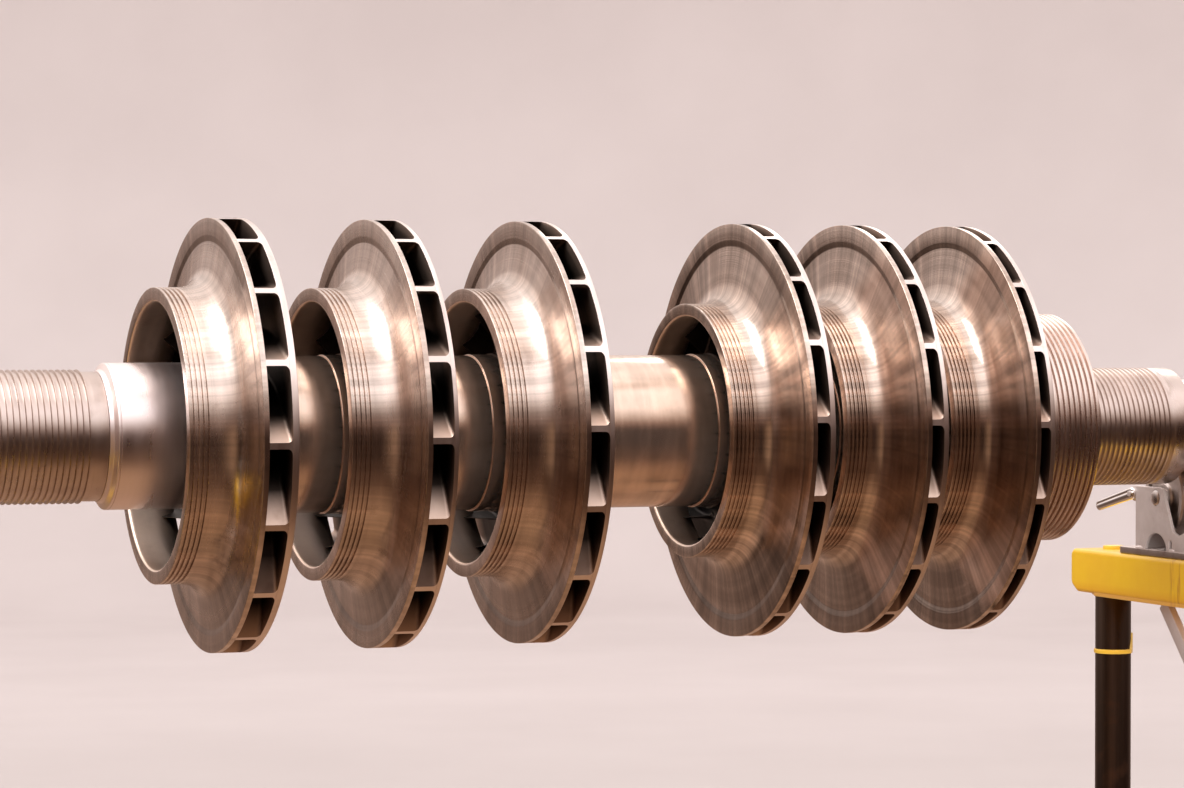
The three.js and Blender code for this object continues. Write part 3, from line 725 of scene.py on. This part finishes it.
def add_sleeves():
    bore = CORE_R + SEAT
    neck_start = NOSE_START - NECK_LENGTH
    left = [(LEFT_JOURNAL_END + SEAT, bore), (LEFT_JOURNAL_END + SEAT, NECK_R, 0.8)]
    left += teeth(LEFT_JOURNAL_END + 5, neck_start + 1, LABYRINTH_PITCH, NECK_R - 0.6, LABYRINTH_R)
    left += [(neck_start + 3, NECK_R, 0.3), (NOSE_START - SEAT, NECK_R, 0.2), (NOSE_START - SEAT, bore, 0.2)]
    turned("left_labyrinth", rounded(left, 0.4, 2), TOOTH_STEEL, "rotor", "left_labyrinth_sleeve",
           "turned_steel", SLEEVE_TURNS)

    shoulder = NOSE_START + 9
    nose = [
        (NOSE_START, bore),
        (NOSE_START, NECK_R + 0.6, 1.0),
        (NOSE_START + 4, NECK_R + 2.0, 2.0),
        (shoulder - 2.4, NOSE_R, 2.4),
        (NOSE_JOINT - 0.1, NOSE_R, 0.2),
        (NOSE_JOINT + 0.3, NOSE_R - 0.9, 0.1),
        (NOSE_JOINT + 0.9, NOSE_R, 0.2),
        (HUB_FRONT - SEAT, NOSE_R, 0.5),
        (HUB_FRONT - SEAT, bore),
    ]
    turned("nose_shoulder_sleeve", rounded(nose), NOSE_STEEL, "rotor", "nose_sleeve", "bright_steel",
           SLEEVE_TURNS)

    for i, step in enumerate(SPACER_STEPS):
        start = hub_back(IMPELLERS[i]) + SEAT
        end = IMPELLERS[i + 1]["x"] + HUB_FRONT - SEAT
        profile = [
            (start, bore), (start, SPACER_R, 0.8),
            (step, SPACER_R, 0.1), (step, SPACER_R - 0.4, 0.1), (step + 0.6, SPACER_R - 0.4, 0.1),
            (step + 0.6, SPACER_R + 1.1, 0.4),
            (end, SPACER_R + 1.1, 0.5), (end, bore),
        ]
        name = f"spacer_sleeve_{i + 1}_{i + 2}"
        turned(f"stepped_{name}", rounded(profile), SLEEVE_STEEL, "rotor", name, "bright_steel", SLEEVE_TURNS)


def add_drum():
    bore = CORE_R + SEAT
    start = hub_back(IMPELLERS[-1]) + SEAT
    profile = [(start, bore), (start, DRUM_NECK_R, 1.5)]
    profile += [(DRUM_START, DRUM_NECK_R, 4.0), (DRUM_START, DRUM_R, 0.8)]
    count = int((DRUM_END - DRUM_START - 6) / DRUM_PITCH)
    places = [DRUM_END - 4.9 - DRUM_PITCH * k for k in reversed(range(count))]
    profile += grooves(places, DRUM_R, 3.0, 2.4, 3.4, 0.12, 0.5)
    profile += [(DRUM_END, DRUM_R, 0.6), (DRUM_END, bore)]
    turned("grooved_drum", rounded(profile, 0.4, 2), DRUM_STEEL, "rotor", "balance_drum", "drum_steel")

    tip_r = RIGHT_LABYRINTH_R
    right = [(DRUM_END + SEAT, bore), (DRUM_END + SEAT, tip_r - 0.8, 0.4)]
    right += teeth(RIGHT_TEETH_START, RIGHT_TEETH_END, RIGHT_PITCH, tip_r - 2.4, tip_r, 1.4, 2.2)
    right += [(RIGHT_TEETH_END + 3, tip_r - 0.4, 0.3), (RIGHT_JOURNAL_START, tip_r - 0.4, 1.2)]
    right += [(RIGHT_JOURNAL_START, bore)]
    turned("right_labyrinth", rounded(right, 0.4, 2), TOOTH_STEEL, "rotor", "right_labyrinth_sleeve",
           "turned_steel", SLEEVE_TURNS)


def add_slotted_nut(name, x0, outer, bore, slots, node):
    """A round nut with spanner slots across its rim."""
    facets = 12
    bevel = 1.2
    x1 = x0 + NUT_LENGTH
    turns = slots * facets
    verts = []
    for k in range(turns):
        angle = 2 * math.pi * k / turns
        in_slot = k % facets in (5, 6)
        r = outer * 0.88 if in_slot else outer
        section = [(x0, bore), (x0, r - bevel), (x0 + bevel, r), (x1 - bevel, r), (x1, r - bevel), (x1, bore)]
        for x, radius in section:
            y = -radius * MM * math.cos(angle)
            verts.append((RIM_X + x * MM, y, AXIS_Z + radius * MM * math.sin(angle)))
    obj = make_object(name, verts, turned_faces(len(section), turns), DRUM_STEEL, 25)
    dress(obj, "rotor", "drum_steel", node)


def add_end_fittings():
    bore = COLLAR_SEAT_R + SEAT
    end = COLLAR_END - SEAT
    collar = [(COLLAR_START, bore), (COLLAR_START, COLLAR_R, 1.5), (end, COLLAR_R, 1.5), (end, bore)]
    turned("thrust_disc", rounded(collar), JOURNAL_STEEL, "rotor", "thrust_collar", "bright_steel",
           SLEEVE_TURNS)
    add_slotted_nut("slotted_locknut", COLLAR_START - SEAT - NUT_LENGTH, LOCKNUT_R, THRUST_SEAT_R + SEAT, 6,
                    "thrust_locknut")
    add_slotted_nut("slotted_coupling_nut", COUPLING_END + SEAT, COUPLING_NUT_R, COUPLING_THREAD_R + SEAT, 4,
                    "coupling_nut")


# The stands

ROLLER_R = 40.0
ROLLER_Y = 46.0
ROLLER_Z = -math.sqrt((JOURNAL_R + ROLLER_R + 0.4) ** 2 - ROLLER_Y ** 2)
AXLE_R = 9.0
CHEEK_INNER = 22.0
CHEEK_THICK = 4.0
CHEEK_HALF = 88.0
CHEEK_TOP = -64.6
END_WALL_TOP = -103.0
PLATE_TOP = -129.0
PLATE_THICK = 7.0
PLATE_HALF = 120.0
ARCH_HALF = 21.5
ARCH_RISE = 18.0
SLOT_Y = 16.0
SLOT_HALF = 3.0
BEAD_SIZE = 2.2
BEAM_TOP = -136.3
BEAM_HEIGHT = 46.0
BEAM_LENGTH = 430.0
BEAM_WIDTH = 68.0
BEAM_SOLE_HALF = 168.0
BEAM_SOLE_THICK = 2.5
POST_Y = 182.0
POST_R = 19.0
POST_CAP_R = 11.0
RING_Z = -245.0
RING_TAB_ANGLE = -21.0
FLOOR = -AXIS_Z / MM
FOOT_LENGTH = 480.0
FOOT_SIZE = 50.0
LEVER_X = -26.0
LEVER_Y = 96.0
LEVER_Z = -73.0
LEVER_LENGTH = 70.0
LEVER_ROOT_R = 6.4
LEVER_TIP_R = 5.4
LEVER_HALF_DEPTH = 3.0
LEVER_END = 6.0
LEVER_LUG_HALF = 8.0
LEVER_PIN_R = 3.0
LEVER_SLOPE = math.radians(12.7)
BRACE_TOP_Y = 75.0
BRACE_FOOT_Z = -445.0
TIE_DROP = 40.0


class Builder:
    """Collects solids made in millimetres about the stand's centre on the rotor's axis."""

    def __init__(self, centre_x):
        self.work = bmesh.new()
        self.centre = Vector((centre_x, 0, AXIS_Z))

    def add(self, verts, faces, bevel=0.0, segments=2, angle=40.0):
        piece = bmesh.new()
        made = [piece.verts.new(v) for v in verts]
        for face in faces:
            piece.faces.new([made[i] for i in face])
        bmesh.ops.recalc_face_normals(piece, faces=piece.faces)
        if bevel > 0:
            limit = math.radians(angle)
            edges = [e for e in piece.edges if len(e.link_faces) == 2 and e.calc_face_angle() > limit]
            bmesh.ops.bevel(piece, geom=edges, offset=bevel, segments=segments, profile=0.6, affect="EDGES")
        mesh = bpy.data.meshes.new("part")
        piece.to_mesh(mesh)
        piece.free()
        self.work.from_mesh(mesh)
        bpy.data.meshes.remove(mesh)

    def prism(self, outline, low, high, axis="x", bevel=0.5, segments=2, angle=40.0):
        """An outline extruded along an axis. For x the outline is (y, z), for y (x, z), for z (x, y)."""
        along = "xyz".index(axis)
        spots = []
        for level in (low, high):
            for point in outline:
                spot = list(point)
                spot.insert(along, level)
                spots.append(spot)
        self.add(spots, capped_faces(len(outline), 2), bevel, segments, angle)

    def rod(self, start, end, radius, sides=24, bevel=0.5):
        start, end = Vector(start), Vector(end)
        spin = Vector((0, 0, 1)).rotation_difference(end - start).to_matrix()
        turns = [2 * math.pi * k / sides for k in range(sides)]
        outline = [(radius * math.cos(a), radius * math.sin(a)) for a in turns]
        length = (end - start).length
        verts = [start + spin @ Vector((x, y, z)) for z in (0, length) for x, y in outline]
        self.add(verts, capped_faces(sides, 2), bevel, 2, 60.0)

    def dome(self, centre, direction, radius, height):
        """A low round head standing on a face that looks along X."""
        sides, rows = 32, 6
        verts = []
        for i in range(rows + 1):
            a = math.pi / 2 * i / rows
            out = centre[0] + direction * height * math.sin(a)
            r = radius * max(math.cos(a), 0.02)
            for k in range(sides):
                turn = 2 * math.pi * k / sides
                verts.append((out, centre[1] + r * math.cos(turn), centre[2] + r * math.sin(turn)))
        self.add(verts, capped_faces(sides, rows + 1))

    def shell_patch(self, centre, inner, outer, middle, rows):
        """A patch of a shell about an upright line: rows of height and half angle."""
        steps = 8
        verts = []
        for height, half in rows:
            turns = [math.radians(middle - half + 2 * half * i / steps) for i in range(steps + 1)]
            edge = [(inner, a) for a in turns] + [(outer, a) for a in reversed(turns)]
            verts += [Vector(centre) + Vector((r * math.cos(a), r * math.sin(a), height)) for r, a in edge]
        self.add(verts, capped_faces(2 * steps + 2, len(rows)))

    def weld(self, start, end, size):
        """A short lumpy bead between two points."""
        start, end = Vector(start), Vector(end)
        sides, stations = 10, 14
        along = (end - start).normalized()
        side_way = along.orthogonal().normalized()
        up = along.cross(side_way)
        verts = []
        for i in range(stations + 1):
            s = i / stations
            r = size * (0.25 + 0.75 * math.sin(math.pi * s) ** 0.4) * (1 + 0.12 * math.sin(i * 2.4))
            middle = start + (end - start) * s
            for k in range(sides):
                a = 2 * math.pi * k / sides
                verts.append(middle + r * (math.cos(a) * side_way + math.sin(a) * up))
        self.add(verts, capped_faces(sides, stations + 1))

    def finish(self, name, material, slot, *nodes, sharp=30.0):
        mesh = bpy.data.meshes.new(name)
        self.work.to_mesh(mesh)
        self.work.free()
        for vertex in mesh.vertices:
            vertex.co = self.centre + vertex.co * MM
        obj = linked_object(name, mesh, material, sharp)
        return dress(obj, "stands", slot, *nodes)


def arc(cx, cy, r, start, end, steps, ry=None):
    ry = r if ry is None else ry
    spots = []
    for i in range(steps + 1):
        a = math.radians(start + (end - start) * i / steps)
        spots.append((cx + r * math.cos(a), cy + ry * math.sin(a)))
    return spots


def rectangle(half_a, half_b, centre_a=0.0, centre_b=0.0):
    corners = ((-1, -1), (1, -1), (1, 1), (-1, 1))
    return [(centre_a + a * half_a, centre_b + b * half_b) for a, b in corners]


def cheek_outline():
    """One cheek: two raised ears, a low middle, and an arch and a slot under each ear."""
    base = PLATE_TOP - 1
    right = [(CHEEK_HALF, base, 0), (CHEEK_HALF, CHEEK_TOP, 3.0), (33.0, CHEEK_TOP, 7.0)]
    right += [(12.0, -109.0, 9.0), (0.0, -113.0, 9.0)]
    left = [(-y, z, r) for y, z, r in reversed(right[:-1])]
    edge = rounded(right + left, 1.0, 6)
    corner = edge.index(min(edge, key=lambda spot: (spot[1], -spot[0])))
    edge = edge[corner:] + edge[:corner]
    openings = []
    for sign in (-1, 1):
        arch = arc(sign * ROLLER_Y, base, ARCH_HALF, 180, 0, 18, ARCH_RISE)
        y = sign * SLOT_Y
        slot = [(y - SLOT_HALF, base), *arc(y, base + 9, SLOT_HALF, 180, 0, 6), (y + SLOT_HALF, base)]
        openings += arch + slot if sign < 0 else slot + arch
    return openings + edge


def add_head(side, centre_x):
    head = Builder(centre_x)
    outer = CHEEK_INNER + CHEEK_THICK
    bead_z = PLATE_TOP + 0.2
    for sign in (-1, 1):
        low, high = sorted((sign * CHEEK_INNER, sign * outer))
        head.prism(cheek_outline(), low, high, "x", 0.9, 3)
        bead_x = sign * (outer + 0.3)
        for y in (-1, 1):
            head.rod((0, y * ROLLER_Y, ROLLER_Z), (sign * outer, y * ROLLER_Y, ROLLER_Z), AXLE_R)
            for start, end in ((y * 40 - 24, y * 40 - 33), (y * 79 - 6, y * 79 + 7)):
                head.weld((bead_x, start, bead_z), (bead_x, end, bead_z), BEAD_SIZE)
    wall_half = outer - 1
    wall = [(-wall_half, PLATE_TOP - 1, 0), (wall_half, PLATE_TOP - 1, 0)]
    wall += [(wall_half, END_WALL_TOP, 6), (-wall_half, END_WALL_TOP, 6)]
    for y in (-1, 1):
        low, high = sorted((y * (CHEEK_HALF - 3.4), y * (CHEEK_HALF - 0.4)))
        head.prism(rounded(wall, 0, 6), low, high, "y", 0.6)
        root = y * (CHEEK_HALF - 9)
        tip = y * (LEVER_Y + 7)
        under, over = LEVER_Z - LEVER_LUG_HALF, LEVER_Z + LEVER_LUG_HALF
        lug = [(root, under, 1), (tip, under, 7), (tip, over, 7), (root, over, 1)]
        head.prism(rounded(lug, 1, 5), LEVER_X + 3.3, LEVER_X + 6.8, "x", 0.4)
        pin = [(x, y * LEVER_Y, LEVER_Z) for x in (LEVER_X - 4, LEVER_X + 6)]
        head.rod(*pin, LEVER_PIN_R, 16)
    obj = head.finish(f"{side}_roller_cheeks", BRACKET_STEEL, "bracket_steel", f"{side}_roller_head")
    obj.data.materials.append(BRACKET_INSIDE_SHADE)
    # Faces turned into the gap between the cheeks take the painted shade
    for face in obj.data.polygons:
        offset = face.center.x - centre_x
        if abs(face.normal.x) > 0.5 and face.normal.x * offset < 0:
            face.material_index = 1

    plate = Builder(centre_x)
    corners = rounded(rectangle(outer + 4, PLATE_HALF), 9.0, 6)
    plate.prism(corners, PLATE_TOP - PLATE_THICK, PLATE_TOP, "z", 1.2, 3)
    plate.finish(f"{side}_head_plate", PLATE_STEEL, "bracket_steel")

    heads = Builder(centre_x)
    for x in (-1, 1):
        for y in (-1, 1):
            heads.dome((x * outer, y * ROLLER_Y, ROLLER_Z), x, 8.0, 2.0)
    heads.finish(f"{side}_axle_heads", BOLT_STEEL, "bracket_steel")


def add_rollers(side, centre_x):
    left = [(-17, AXLE_R + SEAT, 0.5), (-17, 14, 0.5), (-14.5, 15.5, 1), (-14.5, 30, 1.5), (-17, 32, 1)]
    left += [(-17, ROLLER_R - 1.8, 0.3), (-15, ROLLER_R, 0.8)]
    profile = left + [(-x, r, edge) for x, r, edge in reversed(left)]
    for where, sign in (("front", -1), ("back", 1)):
        node = f"{side}_{where}_roller"
        turned(f"{side}_{where}_turned_roller", rounded(profile), ROLLER_STEEL, node, node, "roller_steel",
               96, centre_x, axis_y=sign * ROLLER_Y * MM, axis_z=AXIS_Z + ROLLER_Z * MM)


def lever_section(height):
    """Half depth and height round a lever's section: a bar with a flute along its upper side."""
    shape = [(0.0, 1.0), (0.55, 0.97), (0.82, 0.8), (0.86, 0.4), (0.74, 0.3), (0.86, 0.2)]
    shape += [(1.0, 0.0), (1.0, -0.3), (0.86, -0.66), (0.5, -0.92), (0.0, -1.0)]
    right = [(LEVER_HALF_DEPTH * a, height * b) for a, b in shape]
    return right + [(-a, b) for a, b in reversed(right[1:-1])]


def add_levers(side, centre_x):
    """Forged levers: a round root on the pin, an even taper and a rounded tip."""
    stations = 28
    start = -LEVER_ROOT_R
    total = LEVER_LENGTH + LEVER_ROOT_R + LEVER_TIP_R
    for where, sign in (("front", -1), ("back", 1)):
        verts = []
        for i in range(stations + 1):
            s = 0.5 - 0.5 * math.cos(math.pi * i / stations)
            along = start + total * s
            height = LEVER_ROOT_R - (LEVER_ROOT_R - LEVER_TIP_R) * s
            to_end = min(along - start, start + total - along)
            cap = math.sqrt(max(0.004, 1 - max(0.0, 1 - to_end / LEVER_END) ** 2))
            section = lever_section(height * cap)
            for px, pz in section:
                x = LEVER_X + px * (0.35 + 0.65 * cap)
                y = LEVER_Y + along * math.cos(LEVER_SLOPE) + pz * math.sin(LEVER_SLOPE)
                z = LEVER_Z - along * math.sin(LEVER_SLOPE) + pz * math.cos(LEVER_SLOPE)
                verts.append((centre_x + x * MM, sign * y * MM, AXIS_Z + z * MM))
        faces = capped_faces(len(section), stations + 1)
        obj = make_object(f"{side}_{where}_forged_lever", verts, faces, LEVER_CHROME, 50)
        dress(obj, f"{side}_{where}_lever", "lever_chrome", f"{side}_{where}_lever")


def add_beam(side, centre_x):
    beam = Builder(centre_x)
    half = BEAM_LENGTH / 2
    low = BEAM_TOP - BEAM_HEIGHT
    right = [(half - 13, low, 7), (half - 2, low + 7, 6), (half, low + 12, 6), (half, BEAM_TOP, 8)]
    left = [(-y, z, r) for y, z, r in reversed(right)]
    beam.prism(rounded(right + left, 6.0, 6), -BEAM_WIDTH / 2, BEAM_WIDTH / 2, "x", 5.0, 5, 50.0)
    sole = rounded(rectangle(BEAM_WIDTH / 2 - 1, BEAM_SOLE_HALF), 5.0)
    beam.prism(sole, low - BEAM_SOLE_THICK, low + 3, "z", 1.0)
    for y in (-POST_Y, POST_Y):
        beam.rod((0, y, low - 3), (0, y, low + 6), POST_R + 3.5, 40, 1.2)
        beam.rod((0, y, BEAM_TOP - 2), (0, y, BEAM_TOP + 4), POST_CAP_R, 32, 1.6)
    beam.finish(f"{side}_painted_beam", YELLOW, "yellow_paint", f"{side}_stand_beam", sharp=40)

    rings = Builder(centre_x)
    rows = [(-1.0, 34), (4.0, 30), (11.0, 17), (17.0, 9), (19.0, 3)]
    for y in (-POST_Y, POST_Y):
        rings.rod((0, y, RING_Z - 2.6), (0, y, RING_Z + 2.2), POST_R + 1.5, 48, 1.2)
        rings.shell_patch((0, y, RING_Z), POST_R - 0.5, POST_R + 1.8, RING_TAB_ANGLE, rows)
    rings.finish(f"{side}_post_rings", RING_YELLOW, "yellow_paint")


def add_frame(side, centre_x):
    top = BEAM_TOP - BEAM_HEIGHT - SEAT
    foot_top = FLOOR + FOOT_SIZE
    posts = Builder(centre_x)
    bead = arc(0, 0, POST_R + 2.2, 0, 360 - 9, 39)
    for y in (-POST_Y, POST_Y):
        posts.rod((0, y, foot_top - 2), (0, y, top), POST_R, 40, 0.4)
        foot = rectangle(FOOT_SIZE / 2, FOOT_SIZE / 2 - 2, y, foot_top - FOOT_SIZE / 2 + 2)
        posts.prism(foot, -FOOT_LENGTH / 2, FOOT_LENGTH / 2, "x", 3.0, 3)
        posts.prism([(a, b + y) for a, b in bead], foot_top - 1, foot_top + 3, "z", 1.8, 2, 50)
    posts.prism(rectangle(20, POST_Y - FOOT_SIZE / 2 + 1), FLOOR + 10, foot_top, "z", 2.5, 2)
    tie_z = BRACE_FOOT_Z - TIE_DROP
    posts.prism(rectangle(11, POST_Y - POST_R / 2), tie_z - 15, tie_z + 15, "z", 1.5, 2)
    posts.finish(f"{side}_tube_frame", POST_STEEL, "post_steel", f"{side}_stand_frame", sharp=35)

    brace = Builder(centre_x)
    high = Vector((0, BRACE_TOP_Y, top))
    foot = Vector((0, -POST_Y + POST_R / 2, BRACE_FOOT_Z))
    reach = high - foot
    spin = Vector((0, 0, 1)).rotation_difference(reach).to_matrix()
    middle = (high + foot) / 2
    ends = (-reach.length / 2, reach.length / 2 - 6)
    verts = [middle + spin @ Vector((a, b, z)) for z in ends for a, b in rectangle(4, 8)]
    brace.add(verts, capped_faces(4, 2), 1.0, 2)
    brace.finish(f"{side}_flat_brace", BRACKET_STEEL, "post_steel")

    pads = Builder(centre_x)
    for y in (-POST_Y, POST_Y):
        for end in (-1, 1):
            pad = rectangle(18, 20, end * (FOOT_LENGTH / 2 - 30), y)
            pads.prism(pad, FLOOR, FLOOR + 4.5, "z", 1.0)
    pads.finish(f"{side}_foot_pads", BLACK_RUBBER, "post_steel")


def add_stands():
    for side in ("left", "right"):
        low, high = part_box(f"{side}_stand_beam")
        centre_x = (low.x + high.x) / 2
        add_frame(side, centre_x)
        add_beam(side, centre_x)
        add_head(side, centre_x)
        add_rollers(side, centre_x)
        add_levers(side, centre_x)


# Floor, backdrop, light and camera

BACKDROP_R = 13.0
BACKDROP_HEIGHT = 12.0
COVE_R = 3.0
BACKDROP_TURNS = 96

# Colours that the steel mirrors, by height from straight down at 0 to straight up at 1
FRONT_SKY = [
    (0.0, (0.44, 0.25, 0.14)),
    (0.075, (0.42, 0.23, 0.13)),
    (0.2, (0.13, 0.065, 0.038)),
    (0.36, (0.05, 0.026, 0.018)),
    (0.52, (0.045, 0.024, 0.018)),
    (0.56, (0.12, 0.065, 0.048)),
    (0.62, (0.42, 0.28, 0.23)),
    (0.69, (1.0, 0.86, 0.8)),
    (0.78, (1.8, 1.68, 1.68)),
    (0.92, (1.9, 1.78, 1.8)),
    (0.95, (1.1, 0.95, 0.88)),
    (0.98, (1.8, 1.68, 1.68)),
]
BACK_SKY = [
    (0.0, (0.42, 0.24, 0.15)),
    (0.25, (0.4, 0.24, 0.16)),
    (0.4, (0.42, 0.28, 0.22)),
    (0.47, (0.4, 0.27, 0.22)),
    (0.49, (0.42, 0.29, 0.24)),
    (0.53, (0.5, 0.36, 0.31)),
    (0.57, (1.05, 0.87, 0.8)),
    (0.7, (1.2, 1.06, 1.0)),
    (1.0, (1.8, 1.68, 1.66)),
]
# The left side of the room is warm in front and dark at the back
LEFT_FRONT = (0.4, 0.24, 0.15)
LEFT_BACK = (0.025, 0.011, 0.006)


def add_stage():
    """A round floor that curves up into a backdrop, with painted shade near the middle."""
    profile = [(BACKDROP_R - COVE_R, 0.0)]
    for i in range(1, 13):
        a = math.radians(90 * i / 12)
        profile.append((BACKDROP_R - COVE_R + COVE_R * math.sin(a), COVE_R - COVE_R * math.cos(a)))
    profile.append((BACKDROP_R, BACKDROP_HEIGHT))
    verts, faces = [], []
    for k in range(BACKDROP_TURNS):
        a = 2 * math.pi * k / BACKDROP_TURNS
        verts += [(r * math.cos(a), r * math.sin(a), z) for r, z in profile]
    n = len(profile)
    for k in range(BACKDROP_TURNS):
        a, b = k * n, ((k + 1) % BACKDROP_TURNS) * n
        faces += [(a + i, b + i, b + i + 1, a + i + 1) for i in range(n - 1)]
    faces.append(tuple(k * n for k in range(BACKDROP_TURNS)))
    material, tree, shader = new_material("stage_paint")
    place, (x, y, _) = object_place(tree)
    tone = spread(tree, noise(tree, place, 1.4, 3.0), 0.3, 0.7, 0.0, 1.0)
    color = mix_color(tree, tone, (0.68, 0.63, 0.615), (0.72, 0.67, 0.655))
    # Painted shade: darker near the middle, where the stands are
    near_shade = spread(tree, joined_length(tree, x, y), 2.0, 7.0, 1.0, 0.0)
    color = mix_color(tree, near_shade, color, (0.4, 0.365, 0.35))
    tree.links.new(color, shader.inputs["Base Color"])
    shader.inputs["Roughness"].default_value = 0.9
    shader.inputs["Specular IOR Level"].default_value = 0.1
    floor = make_object("studio_floor", verts, faces, material, 60)
    floor.visible_glossy = False


def add_world():
    world = bpy.data.worlds.new("studio")
    bpy.context.scene.world = world
    world.use_nodes = True
    tree = world.node_tree
    background = tree.nodes["Background"]
    coords = tree.nodes.new("ShaderNodeTexCoord")
    split = tree.nodes.new("ShaderNodeSeparateXYZ")
    tree.links.new(coords.outputs["Generated"], split.inputs[0])
    x, y, z = split.outputs
    height = spread(tree, z, -1.0, 1.0, 0.0, 1.0)
    back = spread(tree, y, -0.25, 0.45, 0.0, 1.0)
    color = mix_color(tree, back, ramp(tree, height, FRONT_SKY), ramp(tree, height, BACK_SKY))
    level = math_node(tree, "MULTIPLY", spread(tree, z, -0.5, -0.3, 0.0, 1.0),
                      spread(tree, z, 0.02, 0.18, 1.0, 0.0))
    left = math_node(tree, "MULTIPLY", level, spread(tree, x, -0.6, -0.12, 0.97, 0.0))
    beside = mix_color(tree, spread(tree, y, -0.62, -0.2, 0.0, 1.0), LEFT_FRONT, LEFT_BACK)
    color = mix_color(tree, left, color, beside)
    azimuth = math_node(tree, "MULTIPLY", math_node(tree, "ARCTAN2", y, x), 2.6)
    bands = noise(tree, combine(tree, azimuth, math_node(tree, "MULTIPLY", z, 0.6), 0), 1.0, 2.0)
    color = toned(tree, color, spread(tree, bands, 0.3, 0.7, 0.72, 1.22))
    tree.links.new(color, background.inputs["Color"])
    background.inputs["Strength"].default_value = 1.0


def add_light(name, place, target, size, power, color, angle=180, mirrored=True):
    light = bpy.data.lights.new(name, "AREA")
    light.shape = "RECTANGLE"
    light.size, light.size_y = size
    light.energy = power
    light.color = color
    light.spread = math.radians(angle)
    obj = bpy.data.objects.new(name, light)
    bpy.context.scene.collection.objects.link(obj)
    obj.location = place
    obj.rotation_euler = (Vector(target) - Vector(place)).to_track_quat("-Z", "Y").to_euler()
    obj.visible_glossy = mirrored


def add_camera():
    camera = bpy.data.cameras.new("camera")
    camera.sensor_fit = "HORIZONTAL"
    camera.sensor_width = SENSOR
    camera.lens = FOCAL_PIXELS * SENSOR / PHOTO_WIDTH
    camera.clip_end = 60.0
    obj = bpy.data.objects.new("camera", camera)
    bpy.context.scene.collection.objects.link(obj)
    obj.location = CAMERA_PLACE
    obj.rotation_euler = Euler((math.pi / 2 + CAMERA_PITCH, 0, CAMERA_YAW), "XYZ")
    bpy.context.scene.camera = obj


bpy.context.scene.view_settings.view_transform = "Standard"
add_camera()
add_world()
add_stage()
add_light("key", (-2.2, 0.1, 4.8), (0, 0, 0.95), (3.2, 2.6), 130, (1.0, 0.96, 0.94))
add_light("rim", (2.6, 3.2, 3.6), (0, 0, 0.95), (2.0, 2.0), 30, (1.0, 0.95, 0.9))
add_light("fill", (-0.6, -4.4, 1.8), (0.3, 0, 0.7), (2.6, 1.6), 46, (1.0, 0.96, 0.93), 90, mirrored=False)
add_shaft()
add_sleeves()
add_impellers()
add_drum()
add_end_fittings()
add_stands()
